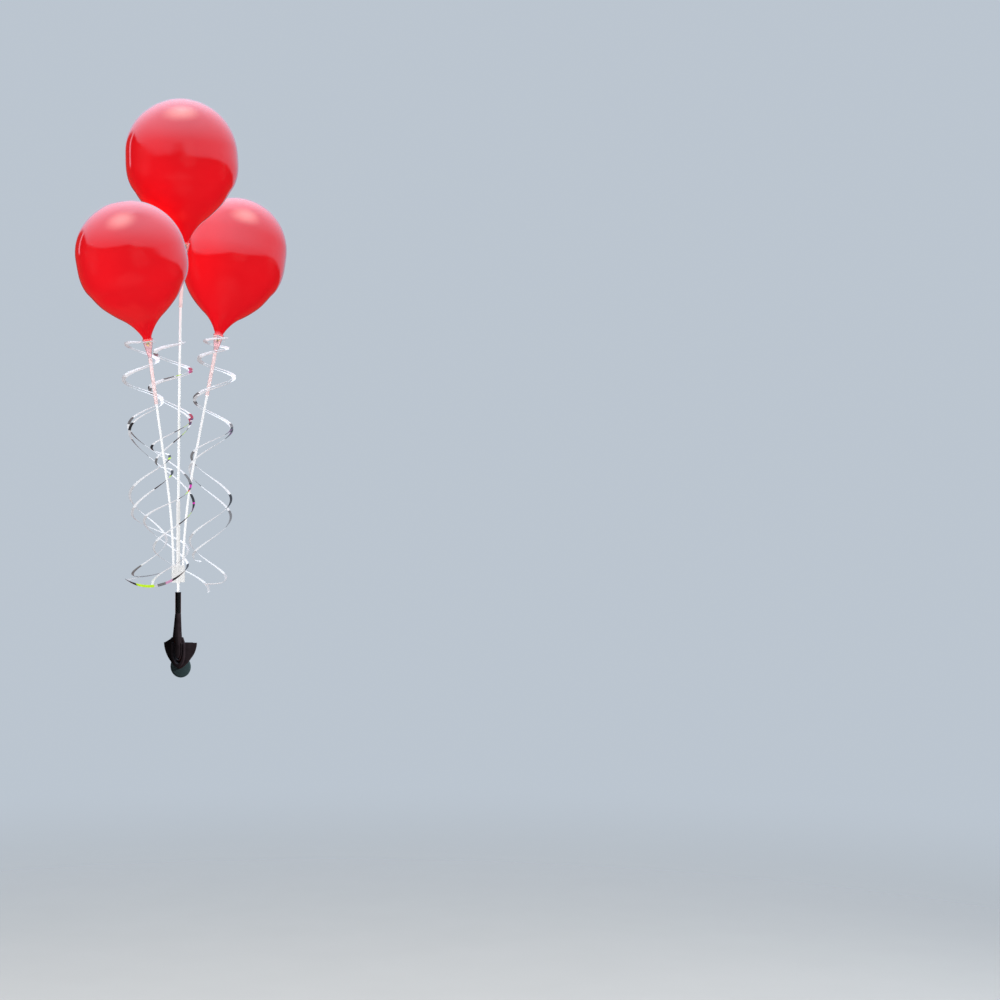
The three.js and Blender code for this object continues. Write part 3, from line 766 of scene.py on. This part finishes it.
def makePole():
    radius, bottom, top = pole["radius"], pole["bottom"], pole["joint"] - gap
    edge, topEdge, tubeEdge = pole["edge"], pole["topEdge"], pole["tubeEdge"]
    rows = [(0, bottom), *eased(radius, bottom, edge, edge), *eased(radius, top, topEdge, -topEdge), (0, top)]
    lower = turnedPiece("poleLower", rows, pole["sides"], clusterPlace)
    finishPiece(lower, "cluster", "pole_lower", finish["white rod"], 50)
    bore, outer = radius + slack, pole["tubeRadius"]
    low, high = pole["tubeBottom"], pole["tubeTop"]
    rows = [(bore, low), *eased(outer, low, topEdge, tubeEdge), *eased(outer, high, tubeEdge, -edge)]
    rows += [(bore, high), (bore, low)]
    joiner = turnedPiece("poleTube", rows, pole["tubeSides"], clusterPlace)
    finishPiece(joiner, "cluster", "pole_tube", finish["white tube"], 50)


hub = {
    "bottom": 0.149, "top": 0.192, "centreRadius": 0.0072, "armRadius": 0.0049, "slack": 0.0008,
    "edge": 0.0006, "webHalf": 0.0036, "webInset": 0.002,
}
over = 0.01  # how far a cutter stands out of what it cuts


def addCylinder(radius, bottom, top, x=0, y=0, sides=32):
    deselect()
    middle = (x, y, (bottom + top) / 2)
    bpy.ops.mesh.primitive_cylinder_add(vertices=sides, radius=radius, depth=top - bottom, location=middle)
    return placed()


def addBlock(low, high):
    deselect()
    low, high = Vector(low), Vector(high)
    bpy.ops.mesh.primitive_cube_add(size=1, location=(low + high) / 2)
    return placed(scale=high - low)


def makeHub():
    # Three round barrels joined by webs, then bored
    low, high, webHalf, webInset = hub["bottom"], hub["top"], hub["webHalf"], hub["webInset"]
    piece = addCylinder(hub["centreRadius"], low, high)
    piece.name = "stickHub"
    feet = [sticks["left"][0], sticks["right"][0]]
    for foot in feet:
        combine(piece, addCylinder(hub["armRadius"], low, high, foot.x, foot.y))
        web = addBlock((0, -webHalf, low + webInset), (foot.to_2d().length, webHalf, high - webInset))
        applyPlace(web, Matrix.Rotation(atan2(foot.y, foot.x), 4, "Z"))
        combine(piece, web)
    bevelEdges(piece, hub["edge"])
    combine(piece, addCylinder(pole["tubeRadius"] + slack, low - over, high + over), "DIFFERENCE")
    for foot in feet:
        bore = addCylinder(stick["radius"] + hub["slack"], low - over, high + over, foot.x, foot.y, 24)
        combine(piece, bore, "DIFFERENCE")
    applyPlace(piece, clusterPlace)
    finishPiece(piece, "cluster", "stick_hub", finish["white tube"], 35)


makePole()
makeHub()
print("pole and hub made")

tie = {
    "thick": 0.0008, "flatten": 1.6, "knot": 0.0022, "knotShape": (0.8, 1.1, 0.9), "tail": 0.016,
    "tailWidth": 0.0022, "tailThick": 0.0004, "tailDrop": 0.002, "tailStart": 0.4, "droop": 22, "twist": 8,
}
ties = {
    "top": {"centre": (0.004, -0.0012, 0.757), "ring": 0.00465},
    "left": {"centre": (-0.0636, -0.0731, 0.7495), "ring": 0.0141},
    "right": {"centre": (0.0849, 0.0958, 0.7772), "ring": 0.0141},
}


def makeTie(side):
    # A flat band round the cup or sleeve, pulled to a knot with two short tails
    ring, knotRadius, length = ties[side]["ring"], tie["knot"], tie["tail"]
    deselect()
    bpy.ops.mesh.primitive_torus_add(
        major_radius=ring, minor_radius=tie["thick"], major_segments=48, minor_segments=10
    )
    band = placed(name="tie" + side.title(), scale=(1, 1, tie["flatten"]))
    bpy.ops.mesh.primitive_uv_sphere_add(segments=16, ring_count=10, radius=knotRadius, location=(ring, 0, 0))
    combine(band, placed(scale=tie["knotShape"]))
    for turn in (-1, 1):
        start = (ring + knotRadius * tie["tailStart"], turn * length / 2, -tie["tailDrop"])
        bpy.ops.mesh.primitive_cube_add(size=1, location=start)
        hang = (radians(-tie["droop"] * turn), 0, radians(-tie["twist"] * turn))
        combine(band, placed(scale=(tie["tailThick"], length, tie["tailWidth"]), rotation_euler=hang))
    mergeAndFaceOut(band)
    direction = (0, 0, 1) if side == "top" else stickDirection[side]
    applyPlace(band, standing(ties[side]["centre"], direction))
    finishPiece(band, "cluster", "tie_" + side, finish["tie foil"], 50)


for side in ties:
    makeTie(side)
print("ties made")

post = {
    "top": 0.0707, "radius": 0.0072, "bulge": 0.0001, "edge": 0.0006, "topEdge": 0.0004, "sides": 48,
    "lower": [(0, -0.012), (0.0038, -0.010), (0.0076, 0.006), (0.0093, 0.014)],
}
tube = {
    "radius": 0.0072, "top": 0.1245, "shankRadius": 0.0046, "shankLength": 0.020, "floor": 0.073,
    "lip": 0.0003, "lipWidth": 0.003, "edge": 0.0005, "sideEdge": 0.0004, "sides": 48,
}


def makeSocketTube():
    radius, top, shank = tube["radius"], tube["top"], tube["shankRadius"]
    edge, inset = tube["edge"], tube["sideEdge"]
    low, seat = post["top"] - tube["shankLength"], post["top"] + gap
    bore, lip, under = pole["radius"] + slack, radius + tube["lip"], top - tube["lipWidth"]
    rows = [
        (0, low), *eased(shank, low, edge, edge), (shank, seat), *eased(radius, seat, inset, edge),
        (radius, under), (lip, under + inset), (lip, top - 2 * inset), (radius - inset, top),
        (bore + inset, top), (bore, top - edge), (bore, tube["floor"]), (0, tube["floor"]),
    ]
    piece = turnedPiece("socketTube", rows, tube["sides"], socketPlace)
    finishPiece(piece, "socket", "socket_tube", finish["gloss black painted highlights"], 40)


shield = {
    "top": -0.0036, "tip": -0.070, "halfWidth": 0.045, "bow": -0.014, "front": -0.0062, "back": -0.006,
    "wingBack": -0.0032, "wingInner": 0.032, "wingOuter": 0.036, "edge": 0.0011, "tongueEdge": 0.0006,
    "shoulderEdge": 0.0008, "overlap": 0.001,
}
# Tongues on the shield, one on the other, with a groove round each inner one
tongues = [
    {"half": 0.0174, "top": -0.004, "bottom": -0.067, "front": -0.022},
    {"half": 0.011, "top": -0.004, "bottom": -0.0495, "front": -0.0225},
    {"half": 0.007, "top": 0.008, "bottom": -0.042, "front": -0.024},
]
grooves = [
    {"half": 0.014, "bottom": -0.0565, "floor": -0.012},
    {"half": 0.0092, "bottom": -0.046, "floor": -0.014},
]
shoulder = {
    "front": -0.014,
    "outline": [
        (-0.042, -0.0046), (-0.031, 0.0015), (-0.025, 0.005), (-0.020, 0.010), (0.009, 0.010),
        (0.0138, -0.0046),
    ],
}
# The ridge in front of the post starts from its foot's section, in X and distance from the socket's axis
ridge = {
    "foot": -0.014, "base": 0.012, "topScale": 0.56, "baseScale": (2, 1.205, 1), "baseCentre": 0.0224,
    "edge": 0.0008,
    "section": [
        (-0.00235, -0.0045), (0.00235, -0.0045), (0.00655, 0.0001), (0.0035, 0.008), (-0.0035, 0.008),
        (-0.00655, 0.0001),
    ],
}
pad = {
    "radius": 0.028, "thick": 0.0026, "z": -0.0645, "neckRadius": 0.003, "neckLength": 0.0024,
    "boreDepth": 0.003, "edge": 0.0004, "sides": 64,
}
upright = Matrix.Rotation(radians(90), 4, "X")


def outlineFace(name, points, steps=12):
    # One face in its own X and Y inside an outline of points with their two handles
    piece = drawCurve(name, [[(*corner, 0) for corner in corners] for corners in points], steps)
    piece.data.splines[0].use_cyclic_u = True
    activate(piece)
    bpy.ops.object.convert(target="MESH")
    editAll(piece)
    bpy.ops.mesh.remove_doubles(threshold=1e-6)
    bpy.ops.mesh.edge_face_add()
    bpy.ops.mesh.dissolve_limited(angle_limit=radians(0.5))
    leaveEdit()
    return piece


def extrudeFace(piece, distance):
    editAll(piece)
    drawUp(distance)
    leaveEdit()
    mergeAndFaceOut(piece)


def outlinePlate(name, points, front, back, edge=0):
    # A plate in the plane of the glass, from an outline in X and Z
    plate = outlineFace(name, points)
    extrudeFace(plate, back - front)
    applyPlace(plate, Matrix.Translation((0, back, 0)) @ upright)
    if edge:
        bevelEdges(plate, edge)
    return plate


def straightOutline(corners):
    # Corners with handles a third of the way to their neighbours
    points = []
    for i, corner in enumerate(corners):
        neighbours = corners[i - 1], corners[(i + 1) % len(corners)]
        points.append((corner, *(Vector(corner).lerp(Vector(other), 1 / 3) for other in neighbours)))
    return points


def shieldPoints():
    half, top, tip = shield["halfWidth"], shield["top"], shield["tip"]
    return [
        ((-half, top), (-half / 3, top), (-0.98 * half, 0.5 * tip)),
        ((0, tip), (-0.36 * half, 0.9 * tip), (0.36 * half, 0.9 * tip)),
        ((half, top), (0.98 * half, 0.5 * tip), (half / 3, top)),
    ]


def tonguePoints(half, top, bottom):
    # Straight down from the top, then round
    turn = bottom + 2 * half
    middle = (top + turn) / 2
    return [
        ((-half, top), (0, top), (-half, middle)),
        ((-half, turn), (-half, middle), (-half, bottom + half)),
        ((0, bottom), (-half / 2, bottom), (half / 2, bottom)),
        ((half, turn), (half, bottom + half), (half, middle)),
        ((half, top), (half, middle), (0, top)),
    ]


def bowedSlab():
    # The shield's level section, bowed out in front and stepped at the back
    overlap = shield["overlap"]
    side, depth = shield["halfWidth"] + overlap, shield["top"] - shield["tip"] + 2 * overlap
    front, handle = shield["front"], (shield["front"] + 2 * (2 * shield["bow"] - shield["front"])) / 3
    inner, outer, back, wing = shield["wingInner"], shield["wingOuter"], shield["back"], shield["wingBack"]
    points = straightOutline([
        (side, front), (side, wing), (outer, wing), (inner, back), (-inner, back), (-outer, wing),
        (-side, wing), (-side, front),
    ])
    points[0] = (points[0][0], (side / 3, handle), points[0][2])
    points[-1] = (points[-1][0], points[-1][1], (-side / 3, handle))
    slab = outlineFace("slab", points, 24)
    extrudeFace(slab, depth)
    applyPlace(slab, Matrix.Translation((0, 0, shield["tip"] - overlap)))
    return slab


def makeRidge():
    socketY, foot, base, top = place["socketY"], ridge["foot"], ridge["base"], post["top"]
    corners = [(x, socketY + y) for x, y in ridge["section"]]
    piece = outlineFace("ridge", straightOutline(corners), 1)
    applyPlace(piece, Matrix.Translation((0, 0, foot)))
    editAll(piece)
    drawUp(base - foot)
    baseCentre = (0, socketY + ridge["baseCentre"], base)
    bpy.ops.transform.resize(value=ridge["baseScale"], center_override=baseCentre)
    drawUp(top - base)
    shrink = ridge["topScale"]
    bpy.ops.transform.resize(value=(shrink, shrink, 1), center_override=(0, socketY, top))
    leaveEdit()
    mergeAndFaceOut(piece)
    bevelEdges(piece, ridge["edge"], 12)
    return piece


def tonguePlate(tongue):
    points = tonguePoints(tongue["half"], tongue["top"], tongue["bottom"])
    back = shield["back"] - shield["overlap"]
    return outlinePlate("tongue", points, tongue["front"], back, shield["tongueEdge"])


def makeClipBody():
    overlap, back, socketY, top = shield["overlap"], shield["back"], place["socketY"], post["top"]
    body = outlinePlate("clipBody", shieldPoints(), shield["bow"] - overlap, 0)
    combine(body, bowedSlab(), "INTERSECT")
    bevelEdges(body, shield["edge"])
    outer, inner, spine = tongues
    combine(body, tonguePlate(outer))
    for groove, tongue in zip(grooves, (inner, spine)):
        points = tonguePoints(groove["half"], 0, groove["bottom"])
        combine(body, outlinePlate("groove", points, spine["front"] - overlap, groove["floor"]), "DIFFERENCE")
        combine(body, tonguePlate(tongue))
    shoulders = straightOutline(shoulder["outline"])
    combine(body, outlinePlate("shoulders", shoulders, shoulder["front"], back, shield["shoulderEdge"]))
    radius = post["radius"]
    rows = [(radius + post["bulge"], top - post["edge"]), (radius - post["topEdge"], top), (0, top)]
    cone = turnedPiece("cone", post["lower"] + rows, post["sides"], Matrix.Translation((0, socketY, 0)))
    combine(body, cone)
    combine(body, makeRidge())
    low = top - tube["shankLength"] - gap
    combine(body, addCylinder(tube["shankRadius"] + slack, low, top + overlap, 0, socketY), "DIFFERENCE")
    bore = addCylinder(pad["neckRadius"] + gap, -pad["boreDepth"], pad["boreDepth"])
    applyPlace(bore, Matrix.Translation((0, back, pad["z"])) @ upright)
    combine(body, bore, "DIFFERENCE")
    mergeAndFaceOut(body)
    applyPlace(body, clipPlace)
    finishPiece(body, "clip", "clip_body", finish["moulded black"], 30)


hook = {
    "slot": 0.0055, "roof": 0.0024, "jaw": 0.00295, "jawDepth": 0.020, "jawHalf": 0.030, "edge": 0.0004,
    "tongue": 0.003, "tongueDepth": 0.045, "tongueHalf": 0.020, "gripHalf": 0.001, "gripRise": 0.0005,
}
# Raised grips across the tongue's inner face: half width of each and its middle's height
grips = [
    (0.0145, -0.012), (0.0135, -0.0165), (0.0125, -0.021), (0.011, -0.0255), (0.009, -0.030),
    (0.006, -0.0345),
]


def makeHook():
    half, slot, gripHalf = hook["jawHalf"], hook["slot"] / 2, hook["gripHalf"]
    front, back = -slot - hook["jaw"], slot + hook["tongue"]
    piece = addBlock((-half, front, 0), (half, back, hook["roof"]))
    piece.name = "glassHook"
    combine(piece, addBlock((-half, front, -hook["jawDepth"]), (half, -slot, 0.0005)))
    points = tonguePoints(hook["tongueHalf"], 0.001, -hook["tongueDepth"])
    combine(piece, outlinePlate("tongue", points, slot, back))
    for half, middle in grips:
        low, high = middle - gripHalf, middle + gripHalf
        combine(piece, addBlock((-half, back - 0.0002, low), (half, back + hook["gripRise"], high)))
    mergeAndFaceOut(piece)
    bevelEdges(piece, hook["edge"])
    finishPiece(piece, "clip", "glass_hook", finish["moulded black"], 30)


def makePad():
    radius, thick, neck, edge = pad["radius"], pad["thick"], pad["neckRadius"], pad["edge"]
    end = thick + pad["neckLength"]
    rows = [
        (0, edge), (0.4 * radius, edge), (0.86 * radius, 0.0001), *eased(radius, 0, 0.0005, edge),
        *eased(radius, 0.0013, 0.0006, -edge), (0.8 * radius, 0.0018), (0.6 * radius, 0.0024),
        (0.55 * radius, thick), (0.3 * radius, thick), (neck + edge, thick), (neck, thick + edge),
        (neck, end), (0, end),
    ]
    face = (0, -hook["slot"] / 2, pad["z"])
    piece = turnedPiece("suctionPad", rows, pad["sides"], standing(face, (0, -1, 0), clipPlace))
    finishPiece(piece, "clip", "suction_pad", finish["soft pad"], 40)


makeSocketTube()
makeClipBody()
makeHook()
makePad()
print("clip made")

# Floor, light and surroundings
stage = {
    "floorZ": -1.38, "floorSize": 60, "floorTone": (0.62, 0.63, 0.63), "floorShade": 0.96,
    "floorCloud": (3, 4), "floorSockets": {"Roughness": 0.7, "Specular IOR Level": 0.2},
    "fadeStart": 0.5, "fadeEnd": 7, "backdrop": (0.50, 0.56, 0.63),
}
# The mirrored sky, in degrees. Its lower edge is azimuth, from the facing to the right, and elevation.
sky = {
    "facing": 25, "tone": (0.70, 0.84, 1.06), "soft": 0.05, "cloud": (14, 3, 0.6), "ragged": 0.06,
    "rise": (0.35, 1.5), "riseTo": 65, "behind": 0.4, "behindFrom": (80, 170), "even": (0.26, 0.44),
    "rim": 0.42, "rimTone": (1.0, 0.13, 0.10), "rimFrom": (115, 160), "rimBelow": (-12, 4),
    "rimBeside": (142, 14, 30), "streakHeight": (14, 8, 12), "streakWidth": (-131, 1.5, 4),
    "edge": [
        (-180, 3), (-168, 6), (-156, 17), (-128, 24), (-100, 14), (-77, 9), (-62, 7), (-49, 7), (-36, 8),
        (-24, 9), (-12, 11), (0, 12), (12, 10), (24, 9), (50, 10), (78, 9), (102, 6), (125, 0), (152, -4),
        (180, 3),
    ],
}


def makeFloor():
    deselect()
    bpy.ops.mesh.primitive_plane_add(size=stage["floorSize"], location=(0, 0, stage["floorZ"]))
    floor = bpy.context.object
    floor.name = "floor"
    material, tree, shader = newMaterial("floor")
    vector, tone = addMapping(tree), stage["floorTone"]
    stops = [(0.2, [stage["floorShade"] * c for c in tone]), (0.8, tone)]
    reach = addNode(tree, "VectorMath", {0: vector}, operation="LENGTH").outputs["Value"]
    feedNode(tree, shader, {
        "Base Color": addRamp(tree, addNoise(tree, vector, *stage["floorCloud"]), stops),
        "Alpha": mapRange(tree, reach, stage["fadeStart"], stage["fadeEnd"], 1, 0),
        **stage["floorSockets"],
    })
    floor.data.materials.append(material)
    floor.visible_glossy = False


def makeWorld():
    # Even pale light for what is lit. What is mirrored is a bright sky with an uneven lower edge.
    world = bpy.data.worlds.new("studio")
    bpy.context.scene.world = world
    world.use_nodes = True
    tree = world.node_tree

    def multiply(first, second):
        return calculate(tree, "MULTIPLY", first, second)

    def angleRange(value, angles, toLow, toHigh):
        low, high = angles
        return mapRange(tree, value, radians(low), radians(high), toLow, toHigh)

    def closeTo(value, angles):
        # 1 within one distance of a middle value, falling to 0 at another
        middle, *distances = angles
        apart = calculate(tree, "ABSOLUTE", calculate(tree, "SUBTRACT", value, radians(middle)))
        return angleRange(apart, distances, 1, 0)

    def addBackground(tone, power):
        return addNode(tree, "Background", {"Color": (*tone, 1), "Strength": power})

    direction = addNode(tree, "TexCoord", {}).outputs["Generated"]
    turn = addNode(tree, "Mapping", {"Vector": direction, "Rotation": (0, 0, radians(-sky["facing"]))})
    parts = addNode(tree, "SeparateXYZ", {0: turn}).outputs
    azimuth = calculate(tree, "ARCTAN2", parts["X"], multiply(parts["Y"], -1))
    elevation = calculate(tree, "ARCSINE", parts["Z"])
    aside = calculate(tree, "ABSOLUTE", azimuth)

    # The curve's field is 360 degrees wide and 60 high
    share = calculate(tree, "MULTIPLY_ADD", azimuth, 1 / (2 * pi), 0.5)
    curve = addNode(tree, "FloatCurve", {"Value": share})
    points = curve.mapping.curves[0].points
    while len(points) < len(sky["edge"]):
        points.new(0.5, 0.5)
    for point, (angle, height) in zip(points, sky["edge"]):
        point.location = ((angle + 180) / 360, (height + 30) / 60)
    curve.mapping.update()
    edge = calculate(tree, "MULTIPLY_ADD", curve, radians(60), radians(-30))

    cloud = addNoise(tree, turn, *sky["cloud"])
    ragged = calculate(tree, "MULTIPLY_ADD", cloud, sky["ragged"], edge)
    above = calculate(tree, "SUBTRACT", elevation, ragged)
    middle = -sky["ragged"] / 2
    bright = mapRange(tree, above, middle - sky["soft"], middle + sky["soft"])
    rise = angleRange(elevation, (0, sky["riseTo"]), *sky["rise"])
    behind = angleRange(aside, sky["behindFrom"], 1, 1 + sky["behind"])
    streak = multiply(closeTo(azimuth, sky["streakWidth"]), closeTo(elevation, sky["streakHeight"]))
    strength = calculate(tree, "ADD", multiply(multiply(bright, rise), behind), streak)

    low = angleRange(elevation, sky["rimBelow"], 1, 0)
    beside = calculate(tree, "MAXIMUM", low, closeTo(aside, sky["rimBeside"]))
    dull = calculate(tree, "SUBTRACT", 1, bright)
    rim = multiply(angleRange(aside, sky["rimFrom"], 0, sky["rim"]), multiply(beside, dull))

    rays = addNode(tree, "LightPath", {}).outputs
    even = addBackground((1, 1, 1), mapRange(tree, parts["Z"], -1, 1, *sky["even"]))
    skyLight, rimLight = addBackground(sky["tone"], strength), addBackground(sky["rimTone"], rim)
    mirrored = addNode(tree, "AddShader", {0: skyLight, 1: rimLight})
    lit = addNode(tree, "MixShader", {0: rays["Is Glossy Ray"], 1: even, 2: mirrored})
    plain = tree.nodes["Background"]
    feedNode(tree, plain, {"Color": (*stage["backdrop"], 1)})
    seen = calculate(tree, "MAXIMUM", rays["Is Camera Ray"], rays["Is Transmission Ray"])
    mix = addNode(tree, "MixShader", {0: seen, 1: lit, 2: plain})
    feedNode(tree, tree.nodes["World Output"], {"Surface": mix})


# Large soft lamps, each aimed at a height over the middle. One lights the dark clip from the right, and the
# others light the rest evenly all round.
allRound = {"size": 2.6, "pieces": "bright"}
lamps = {
    "clipKey": {"place": (4.85, -1.2, 1.8), "aim": 0, "size": 1.2, "power": 1250, "pieces": "dark"},
    "front": {"place": (2.9, -3.6, 1.3), "aim": 0.7, "power": 88, **allRound},
    "left": {"place": (-3.6, -1.9, 0.9), "aim": 0.7, "power": 96, **allRound},
    "right": {"place": (3.2, 2.4, 0.9), "aim": 0.7, "power": 58, **allRound},
    "low": {"place": (0.5, -1.7, -1.1), "aim": 0.9, "power": 28, **allRound},
    "top": {"place": (-0.6, 1.4, 4.2), "aim": 1.0, "power": 110, **allRound},
}
darkPieces = ["clipBody", "glassHook", "suctionPad", "socketTube"]
# Soft-edged lamps that one piece mirrors each. Their direction is given as shares to the right and towards
# the camera, and their size as width and height.
highlight = {"reach": 3, "tone": (1.0, 0.86, 0.76)}
highlights = {
    "balloonTop": {"right": -0.02, "near": 0.09, "size": (3.4, 3.4), "power": 38},
    "balloonLeft": {"right": -0.26, "near": 0.29, "size": (3.4, 3.4), "power": 38},
    "balloonRight": {"right": 0.29, "near": 0.25, "size": (3.4, 3.4), "power": 38},
    "socketTube": {"right": -0.22, "near": 0.94, "size": (0.8, 3), "power": 900},
}


def addLamp(name, shape, location, aim, power):
    deselect()
    turn = aim.to_track_quat("-Z", "Y").to_euler()
    bpy.ops.object.light_add(type="AREA", location=location, rotation=turn)
    lamp = bpy.context.object
    lamp.name = name
    lamp.data.shape = shape
    lamp.data.energy = power
    lamp.visible_camera = False
    return lamp


def softEdge(lamp):
    # Full strength in the middle of the lamp, none at its rim
    lamp.data.use_nodes = True
    tree = lamp.data.node_tree
    surface = addNode(tree, "NewGeometry", {}).outputs["Parametric"]
    offset = addNode(tree, "VectorMath", {0: surface, 1: (0.5, 0.5, 0)}, operation="DISTANCE")
    strength = mapRange(tree, offset.outputs["Value"], 0, 0.5, 2, 0)
    feedNode(tree, tree.nodes["Emission"], {"Strength": strength})


def makeHighlight(name, row):
    piece = bpy.data.objects[name]
    middle = sum((Vector(corner) for corner in piece.bound_box), Vector()) / 8
    right, near = row["right"], row["near"]
    direction = Vector((right, -near, sqrt(1 - right**2 - near**2)))
    direction.rotate(Matrix.Rotation(radians(sky["facing"]), 3, "Z"))
    location = middle + direction * highlight["reach"]
    lamp = addLamp("highlight" + name[0].upper() + name[1:], "ELLIPSE", location, -direction, row["power"])
    lamp.data.size, lamp.data.size_y = row["size"]
    lamp.data.color = highlight["tone"]
    lamp.visible_diffuse = lamp.visible_transmission = False
    softEdge(lamp)
    mirroring = bpy.data.collections.new(lamp.name)
    mirroring.objects.link(piece)
    lamp.light_linking.receiver_collection = mirroring


def makeLights():
    groups = {name: bpy.data.collections.new(name + "Pieces") for name in ("dark", "bright")}
    for piece in bpy.context.scene.objects:
        if piece.type == "MESH":
            groups["dark" if piece.name in darkPieces else "bright"].objects.link(piece)
    for name, row in lamps.items():
        location = Vector(row["place"])
        lamp = addLamp(name, "DISK", location, Vector((0, 0, row["aim"])) - location, row["power"])
        lamp.data.size = row["size"]
        lamp.visible_glossy = False
        lamp.data.use_shadow = row["pieces"] == "dark"
        lamp.light_linking.receiver_collection = groups[row["pieces"]]
    for name, row in highlights.items():
        makeHighlight(name, row)


makeFloor()
makeWorld()
makeLights()
print("stage made")
